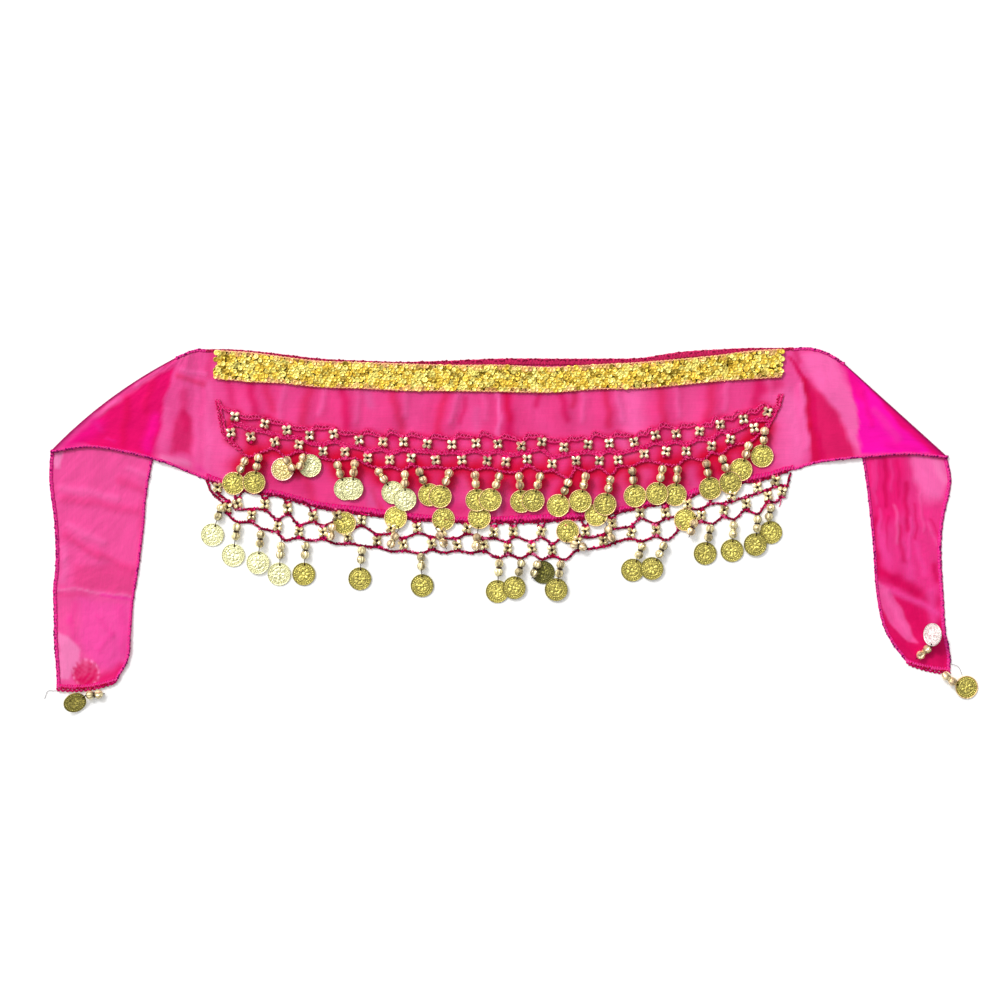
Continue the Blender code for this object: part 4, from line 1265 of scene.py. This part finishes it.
def make_drop(name, drop, parts, rng):
    heap = Heap()
    # The coin's shade and set carry painted light: brighter, warmer or darker coins, and rims painted for the
    # cloth or the floor beneath.
    coin_shade = PAINTED_COIN_LIGHT.get(name, "coin")
    tone = linear(coin_shade) * rng.uniform(0.88, 1.12)
    turns = drop.axes[None]
    on_white = "hem_drop" in name or name == "left_tie_drop"
    pale = coin_shade in ("coin_pale", "coin_white")
    coins = parts["coins_pale" if pale else "coins_on_white" if on_white else "coins"]
    add_copies(heap, coins[rng.integers(0, 3)], [drop.centre], turns, [tone])
    angles = round_angles(DOT_PLACES)
    angles = angles[(angles > DOTLESS) & (angles < 2 * math.pi - DOTLESS)]
    dots = circle(DOT_CIRCLE, COIN_FACE + 0.05, angles) @ drop.axes.T + drop.centre
    dot_tone = tone * (1.1 if pale else 1.5)
    add_copies(heap, parts["dot"], dots, np.repeat(turns, len(dots), axis=0), [dot_tone] * len(dots))
    out, _, normal = drop.axes.T
    hole = drop.centre + drop.axes @ np.array([HOLE_PLACE, 0.0, 0.0])
    thread = linear("thread")
    for radius, height, colour in ((1.0, 0.38, tone * 0.9), (0.7, 0.4, thread)):
        disc = lathe([(radius, 0.0), (radius, 0.1), (0.01, 0.12)], 12)
        add_copies(heap, disc, [hole + drop.axes @ np.array([0, 0, height])], turns, [colour], 2)
    edge = drop.centre + out * (COIN_RADIUS + 0.5)
    if drop.beads:
        turn = axes_to(drop.along)[None]
        slid = drop.along * BEAD_GAP
        for place in (drop.beads[0], drop.beads[1] + slid):
            # Beads on the pink cloth take the pinker shade: a painted reflection of the cloth.
            tone = linear("bead_pale" if on_white else "bead") * rng.uniform(0.86, 1.06)
            add_copies(heap, parts["bead"], [place], turn, [tone], 1)
        # The spacer ring between the beads takes the dark thread colour, most often over the white floor:
        # painted shade in the gap between the beads.
        dark = rng.uniform() < (0.85 if on_white else 0.3)
        add_copies(heap, parts["bead_ring"], [(drop.beads[0] + drop.beads[1] + slid) / 2], turn,
                   [thread if dark else linear("bead_pale")], 1)
        leave = drop.beads[1] + drop.along * BEAD_RADIUS
        bend = leave + drop.along * min(max(np.linalg.norm(edge - leave) * 0.5, 0.8), 2.4)
        path = [drop.anchor - drop.along, drop.anchor, *drop.beads, leave, (bend + edge) / 2,
                edge + normal * 0.9, hole + normal * 0.9 - out * 0.3, hole - normal * 0.1]
    else:
        path = [drop.anchor, edge + normal * 0.5, hole + normal * 0.9, hole - normal * 0.1]
    add_tube(heap, smooth_path(path, 0.7), THREAD_RADIUS, thread, 5, slot=2)
    return heap.piece(name + "_piece", parts["materials"], "coins", [name])


# ---- Sequin band ----

SEQUIN_ROWS = 8
SEQUIN_PITCH = 2.9
TAPE_GRID = (213, 9)  # points along the tape, and across it
TAPE_THICK = 0.45


def add_tape(heap):
    columns, rows = TAPE_GRID
    x = np.linspace(BAND_LEFT + 1.0, BAND_RIGHT - 1.0, columns)
    plan = body_strip(x, line_at("band_low", x) + 0.6, line_at("band_top", x) - 1.4, rows)
    lower = np.concatenate([plan, (ON_CLOTH + 0.2 + gather_height(plan))[:, None]], axis=1)
    quads = grid_quads(rows, columns)
    places = np.arange(rows * columns).reshape(rows, columns)
    rim = np.concatenate([places[0], places[1:, -1], places[-1, -2::-1], places[-2:0:-1, 0]])
    after = np.roll(rim, -1)
    size = rows * columns
    wall = np.stack([rim + size, after + size, after, rim], axis=-1)
    points = np.concatenate([lower + [0.0, 0.0, TAPE_THICK], lower])
    # The tape is painted near black, as painted shade in the gaps between the sequins.
    heap.add(points, [quads, quads[:, ::-1] + size, wall], linear("gold_shaded") * 0.3)


def add_sequins(heap, rng):
    sequin = lathe([(0.12, 0.0), (0.5, 0.04), (1.1, 0.3), (1.62, 0.42), (1.74, 0.28), (1.1, 0.12)], 9)
    centres, turns, colours = [], [], []
    for row in range(SEQUIN_ROWS):
        for index in range(int((BAND_RIGHT - BAND_LEFT + 5.0) / SEQUIN_PITCH)):
            along = BAND_LEFT - 1.5 + SEQUIN_PITCH * (index + 0.5 * (row % 2)) + rng.uniform(-0.8, 0.8)
            if not BAND_LEFT - 1.0 < along < BAND_RIGHT + 1.6:
                continue
            low, top = line_at("band_low", along) + 1.5, line_at("band_top", along) - 2.4
            place = low + (top - low) * (row / (SEQUIN_ROWS - 1)) + rng.uniform(-0.6, 0.6)
            centres.append((along, place, ON_CLOTH + 1.0 + lift_at(along, place) + rng.uniform(0.0, 0.9)))
            tilt, heading = math.radians(abs(rng.normal(0.0, 17.0))), rng.uniform(0, 2 * math.pi)
            c, s = math.cos(tilt), math.sin(tilt)
            lean = np.array([[c, 0, s], [0, 1, 0], [-s, 0, c]])
            turns.append(turn_z(heading) @ lean @ turn_z(rng.uniform(0, 6.28)) * rng.uniform(0.85, 1.35))
            # Each sequin takes one of three golds: the lightest is a painted glint, the darkest painted
            # shade, the rest their own gold.
            pick = rng.uniform()
            colour = linear("gold_glint" if pick < 0.4 else "gold" if pick < 0.88 else "gold_shaded")
            if row in (0, SEQUIN_ROWS - 1) and rng.uniform() < 0.45:
                colour = 0.5 * colour + 0.5 * linear("peach")
            colours.append(colour * rng.uniform(0.85, 1.1))
    add_copies(heap, sequin, centres, np.array(turns), colours, 1)


def add_cord(heap, along, y, height, radius, shade, sides, slot):
    path = on_panel(np.stack([along, y, np.zeros(len(along))], axis=1), height)
    add_tube(heap, path, radius, linear(shade), sides, slot=slot)


def make_band(tape, sequins, rng):
    heap = Heap()
    add_tape(heap)
    add_sequins(heap, rng)
    along = np.arange(BAND_LEFT + 0.6, BAND_RIGHT - 0.5, 0.5)
    scallop = 0.6 * abs(np.sin(math.pi * along / 3.1))
    add_cord(heap, along, line_at("band_top", along) - 1.17 + scallop, ON_CLOTH + 1.3, 0.65, "peach", 4, 1)
    add_cord(heap, along, line_at("band_low", along) + 0.27 - scallop, ON_CLOTH + 1.3, 0.65, "peach", 4, 1)
    along = np.arange(BAND_LEFT + 0.6, BAND_RIGHT - 0.5, 0.8)
    under = line_at("band_low", along) - 0.35 + 0.25 * np.sin(along * 0.9)
    add_cord(heap, along, under, ON_CLOTH + 0.2, 0.45, "waist", 5, 0)
    return heap.piece("sequin_trim", [tape, sequins], "sequins", ["sequin_band"])


# ---- Laces ----

UPPER_HEIGHT = 2.1  # how high over the panel's middle the upper lace's yarn lies
STRAND_RADIUS = 0.42  # of the yarn that holds a flower
FINE_RADIUS = 0.3
HIDING_REACH = 7.8  # a flower nearer than this to the middle of a coin is hidden by it


def random_turns(rng, count):
    return np.array([turn_z(angle) for angle in rng.uniform(0, 6.28, count)])


def picked(rng, colours, count):
    return np.array(colours)[rng.integers(0, len(colours), count)]


def add_flower(heap, x, y, z, size, turn, parts, rng, shade="bead_cream"):
    """Four oval beads in a cross round a dark knot; its near-black colour is partly the thread's and partly
    painted shade in the gap between the beads.
    """
    corners = np.radians([45, 135, 225, 315])
    ways = [turn_z(turn) @ np.array([math.cos(angle), math.sin(angle), 0.0]) for angle in corners]
    centres = [way * 2.6 * size + [x, y, z] for way in ways]
    turns = np.array([axes_to(way) for way in ways]) * [size, size, 1.12 * size]
    colours = [linear(shade) * rng.uniform(0.95, 1.2) for _ in ways]
    add_copies(heap, parts["small_bead"], centres, turns, colours, 1)
    add_copies(heap, parts["knot"], [(x, y, z + 0.7)], np.eye(3)[None], [linear("thread") * 0.8], 0)


def add_chain(heap, path, braid, colours, rng, phase=0.0, nubs=None):
    """A braid along a path with small knots of yarn on it, as where each stitch pulls tight."""
    add_braid(heap, path, braid, colours, phase)
    colours = nubs or colours
    path = smooth_path(path, braid.nub_step)[1:-1]
    size = braid.nub_size * rng.uniform(0.8, 1.25, len(path))
    aside = rng.choice([-0.8, -0.3, 0.4, 0.8], len(path))[:, None]
    spots = path + path_frames(path)[0] * aside + rng.uniform(-0.25, 0.25, path.shape) * [1, 1, 0.3]
    turns = random_turns(rng, len(path)) * size[:, None, None]
    add_copies(heap, nub_shape(1.0), spots, turns, picked(rng, colours, len(path)))


def add_knots(heap, x, y, reach, height, colours, rng):
    """The yarn gathered in a small wedge over and under a bead flower."""
    for side in (-1.0, 1.0):
        spots = [(x + shift, y + side * (reach + 0.5 - 0.35 * abs(shift)), height)
                 for shift in (-2.1, -0.8, 0.6, 1.9)]
        spots.append((x + 0.2, y + side * (reach - 0.9), height + 0.2))
        spots = np.array(spots) + rng.uniform(-0.3, 0.3, (5, 3)) * [1, 1, 0.2]
        turns = random_turns(rng, 5) * rng.uniform(0.7, 1.0, 5)[:, None, None]
        add_copies(heap, nub_shape(1.2), spots, turns, picked(rng, colours, 5))


def chain_through(spots, height=0.0, step=0.75):
    """A smooth path through (x, y) spots, at a height over the surface."""
    path = smooth_path(np.array(spots, float), step)
    return np.concatenate([path, np.full((len(path), 1), height)], axis=1)


def on_panel(path, height):
    path = np.array(path, float)
    path[:, 2] = height + gather_height(path[:, :2])
    return path


def merge_near(spots, nearest=4.0):
    """The spots in order along X, with those that nearly touch made one."""
    kept = [spots[0]]
    for spot in spots[1:]:
        if spot[0] - kept[-1][0] < nearest:
            kept[-1] = ((spot[0] + kept[-1][0]) / 2, min(spot[1], kept[-1][1]))
        else:
            kept.append(spot)
    return kept


def beside(row, shift):
    """The flowers' places moved up by the shift."""
    return [(x, y + shift) for x, y in row]


def top_rope(rng):
    """The upper lace's double rope: from each flower it rises steeply and falls slowly to the next."""
    rope = [(-213.5, 37.5), (-208.5, 31.5)]
    under = [(-211.5, 33.0), (-206.5, 29.0)]
    for (x, y), (next_x, next_y) in zip(UPPER_ROW_ONE, UPPER_ROW_ONE[1:]):
        peak = min(y, next_y) + (9.0 if abs(next_y - y) < 4 else 7.5) + rng.uniform(-1.0, 1.2)
        rope += [(x + 0.5, y + 4.6), (x + 4.8, peak), (x + 8.0, peak - 0.6), (next_x - 4.0, next_y + 6.2)]
        under += [(x + 1.5, y + 3.2), (x + 5.4, peak - 3.0), (x + 8.6, peak - 3.6),
                  (next_x - 3.0, next_y + 4.0)]
    return rope + [(205.0, 32.0), (208.5, 39.5)], under + [(204.0, 29.5), (206.5, 34.0)]


def make_upper_lace(materials, parts, rng):
    heap = Heap()
    pinks = [linear("yarn_pink"), linear("yarn_light"), linear("yarn_pink"), linear("yarn_red")]
    reds = [linear("yarn_pink"), linear("yarn_light"), linear("yarn_red")]
    ropes = top_rope(rng)
    for spots, height in zip(ropes, (2.0, UPPER_HEIGHT)):
        add_braid(heap, on_panel(chain_through(spots, step=0.6), height), ROPE, pinks, height)
    top, low = (smooth_path(spots, 0.8) for spots in ropes)
    lattice = top[::3].copy()
    lattice[1::2, 1] = np.interp(lattice[1::2, 0], low[:, 0], low[:, 1])
    lattice = on_panel(chain_through(lattice, step=0.8), 2.2)
    add_tube(heap, lattice, FINE_RADIUS, linear("yarn_light"), STRAND_SIDES)
    middle = np.array(sorted(beside(UPPER_ROW_ONE, -5.6) + beside(UPPER_ROW_TWO, 5.4)))
    for shift, phase in ((0.9, 0.0), (-0.9, 1.4)):
        path = on_panel(chain_through(middle + [0.0, shift]), UPPER_HEIGHT)
        add_chain(heap, path, MIDDLE_CHAIN, pinks, rng, phase)
    path = on_panel(chain_through(merge_near(sorted(beside(UPPER_ROW_TWO, -5.2) + LACE_LOW))), 2.2)
    add_chain(heap, path, LOW_CHAIN, reds, rng)
    for row, above, below in ((UPPER_ROW_ONE, 5.0, -5.4), (UPPER_ROW_TWO, 5.2, -5.0)):
        for x, y in row:
            for lean in (-1.2, 1.2):
                strand = [(lean * 1.8, above, 2.1), (lean * 0.6, 2.0, 2.3), (0.0, 0.0, 2.4),
                          (-lean * 0.6, -2.0, 2.3), (-lean * 1.8, below, 2.1)]
                path = smooth_path(np.array(strand) + [x, y, 0.0], 0.9)
                add_tube(heap, on_panel(path, UPPER_HEIGHT), STRAND_RADIUS, linear("yarn_red"), STRAND_SIDES)
    for x, y in UPPER_ROW_ONE + UPPER_ROW_TWO:
        lift = lift_at(x, y)
        add_knots(heap, x, y, 4.0, 2.2 + lift, reds, rng)
        add_flower(heap, x, y, 3.0 + lift, 0.95, rng.uniform(-0.25, 0.25), parts, rng)
    for path in LACE_ENDS:
        for shift, colours in ((-1.1, reds), (1.1, pinks)):
            run = on_panel(chain_through(np.array(path) + [shift, 0.0]), 2.0)
            add_chain(heap, run, END_CHAIN, colours, rng, nubs=pinks)
    return heap.piece("upper_lace_net", materials, "crochet", ["upper_lace"])


def make_hem_lace(materials, parts, rng):
    heap = Heap()
    reds = [linear("yarn_" + shade) for shade in ("red", "dark", "plum", "pink", "red", "fuzz")]
    middle = merge_near(sorted(beside(HEM_ROW_ONE, -4.6) + beside(HEM_ROW_TWO, 5.0)))
    top = [(x, line_at("hem", x) - 0.4 + 0.5 * math.sin(x * 0.7)) for x in np.arange(-218.0, 216.0, 4.0)]
    for spots, height in ((middle, 1.1), (LOW_LINE, 1.1), (top, 1.3)):
        add_chain(heap, chain_through(spots, height), HEM_CHAIN, reds, rng)

    def finish_flower(x, y, reach, height, size):
        """The yarn round a flower, and its beads unless a coin lies over them."""
        add_knots(heap, x, y, reach, height, reds, rng)
        if all(math.dist((x, y), drop.centre[:2]) >= HIDING_REACH for drop in DROPS.values()):
            add_flower(heap, x, y, height + 0.8, size, rng.uniform(-0.3, 0.3), parts, rng, "bead_pale")

    for x, y in HEM_ROW_ONE:
        top = line_at("hem", x) + 1.0
        for lean in (-1.0, 1.0):
            spots = [(x + lean * 5.0, line_at("hem", x + lean * 5.0) + 1.0, 1.6),
                     (x + lean * 2.2, (top + y) / 2 + 1.2, 1.4), (x + lean * 0.5, y + 1.0, 1.3),
                     (x, y - 4.6, 1.2)]
            add_chain(heap, smooth_path(spots, 0.8), HEM_MESH, reds, rng, lean)
        finish_flower(x, y, 4.2, 1.4, 0.98)
    for x, y in HEM_ROW_TWO:
        for lean in (-1.0, 1.0):
            spots = [(x + lean * 1.0, y + 5.0, 1.2), (x + lean * 0.5, y, 1.3), (x - lean * 0.8, y - 5.0, 1.1)]
            add_braid(heap, smooth_path(spots, 0.8), HEM_STRAND, reds, lean)
        finish_flower(x, y, 4.4, 1.3, 0.94)
    add_tube(heap, smooth_path(LACE_LOOSE_END, 0.7), FINE_RADIUS, linear("yarn_pink"), STRAND_SIDES)
    return heap.piece("hem_lace_net", materials, "crochet", ["hem_lace"])


def make_loose_threads(thread):
    heap = Heap()
    for path in LOOSE_THREADS:
        add_tube(heap, smooth_path(path, 0.8), 0.22, LOOSE_GREY, 4)
    return heap.piece("loose_threads", [thread], "crochet")


# ---- The whole scarf ----

add_camera()
add_lights()
add_floor()

chiffon_cloth = chiffon_finish()
thread_dark = thread_finish()
bead_gold = bead_finish()
hem_edging = [hem_finish(), thread_dark]
lace_materials = [yarn_finish(), bead_gold]

random = np.random.default_rng(SEED)
part_shapes = {
    # The sets differ in their rims' painted reflection: pink-white for coins on the cloth, dark for coins
    # over the white floor, dull with flatter tints for the pale coins.
    "coins": [coin_shape(random, 1.35) for _ in range(3)],
    "coins_on_white": [coin_shape(random, 0.5) for _ in range(3)],
    "coins_pale": [coin_shape(random, 0.85, 0.85) for _ in range(3)],
    "dot": lathe([(0.5, 0.0), (0.44, 0.16), (0.24, 0.27), (0.02, 0.3)], 8),
    "bead": bead_shape(BEAD_RADIUS + 0.28, 0.7, 20, 11),
    "bead_ring": lathe([(0.6, -0.5), (2.0, -0.45), (2.4, 0.0), (2.0, 0.45), (0.6, 0.5)], 12),
    "small_bead": bead_shape(1.82, 0.5, 10, 7),
    "knot": lathe([(0.02, -0.5), (0.9, -0.3), (1.1, 0.2), (0.7, 0.7), (0.02, 0.9)], 8),
    "materials": [coin_finish(), bead_gold, thread_dark],
}

panel_sheet, panel_hems = make_panel(chiffon_cloth, hem_edging)
left_look = (LEFT_TAIL_FOLDS, "soft", LEFT_TAIL_PATCHES)
right_look = (RIGHT_TAIL_FOLDS, "hot_rose", RIGHT_TAIL_PATCHES)
left_sheet, left_hems = make_tie(
    "left_tie", LEFT_STRAP, LEFT_TAIL, 1.0, left_look, chiffon_cloth, hem_edging)
right_sheet, right_hems = make_tie(
    "right_tie", RIGHT_STRAP, RIGHT_TAIL, -1.0, right_look, chiffon_cloth, hem_edging)
make_band(backing_finish(), sequin_finish(), random)
make_upper_lace(lace_materials, part_shapes, random)
make_hem_lace(lace_materials, part_shapes, random)
for drop_name, drop_place in DROPS.items():
    make_drop(drop_name, drop_place, part_shapes, random)
make_loose_threads(thread_dark)
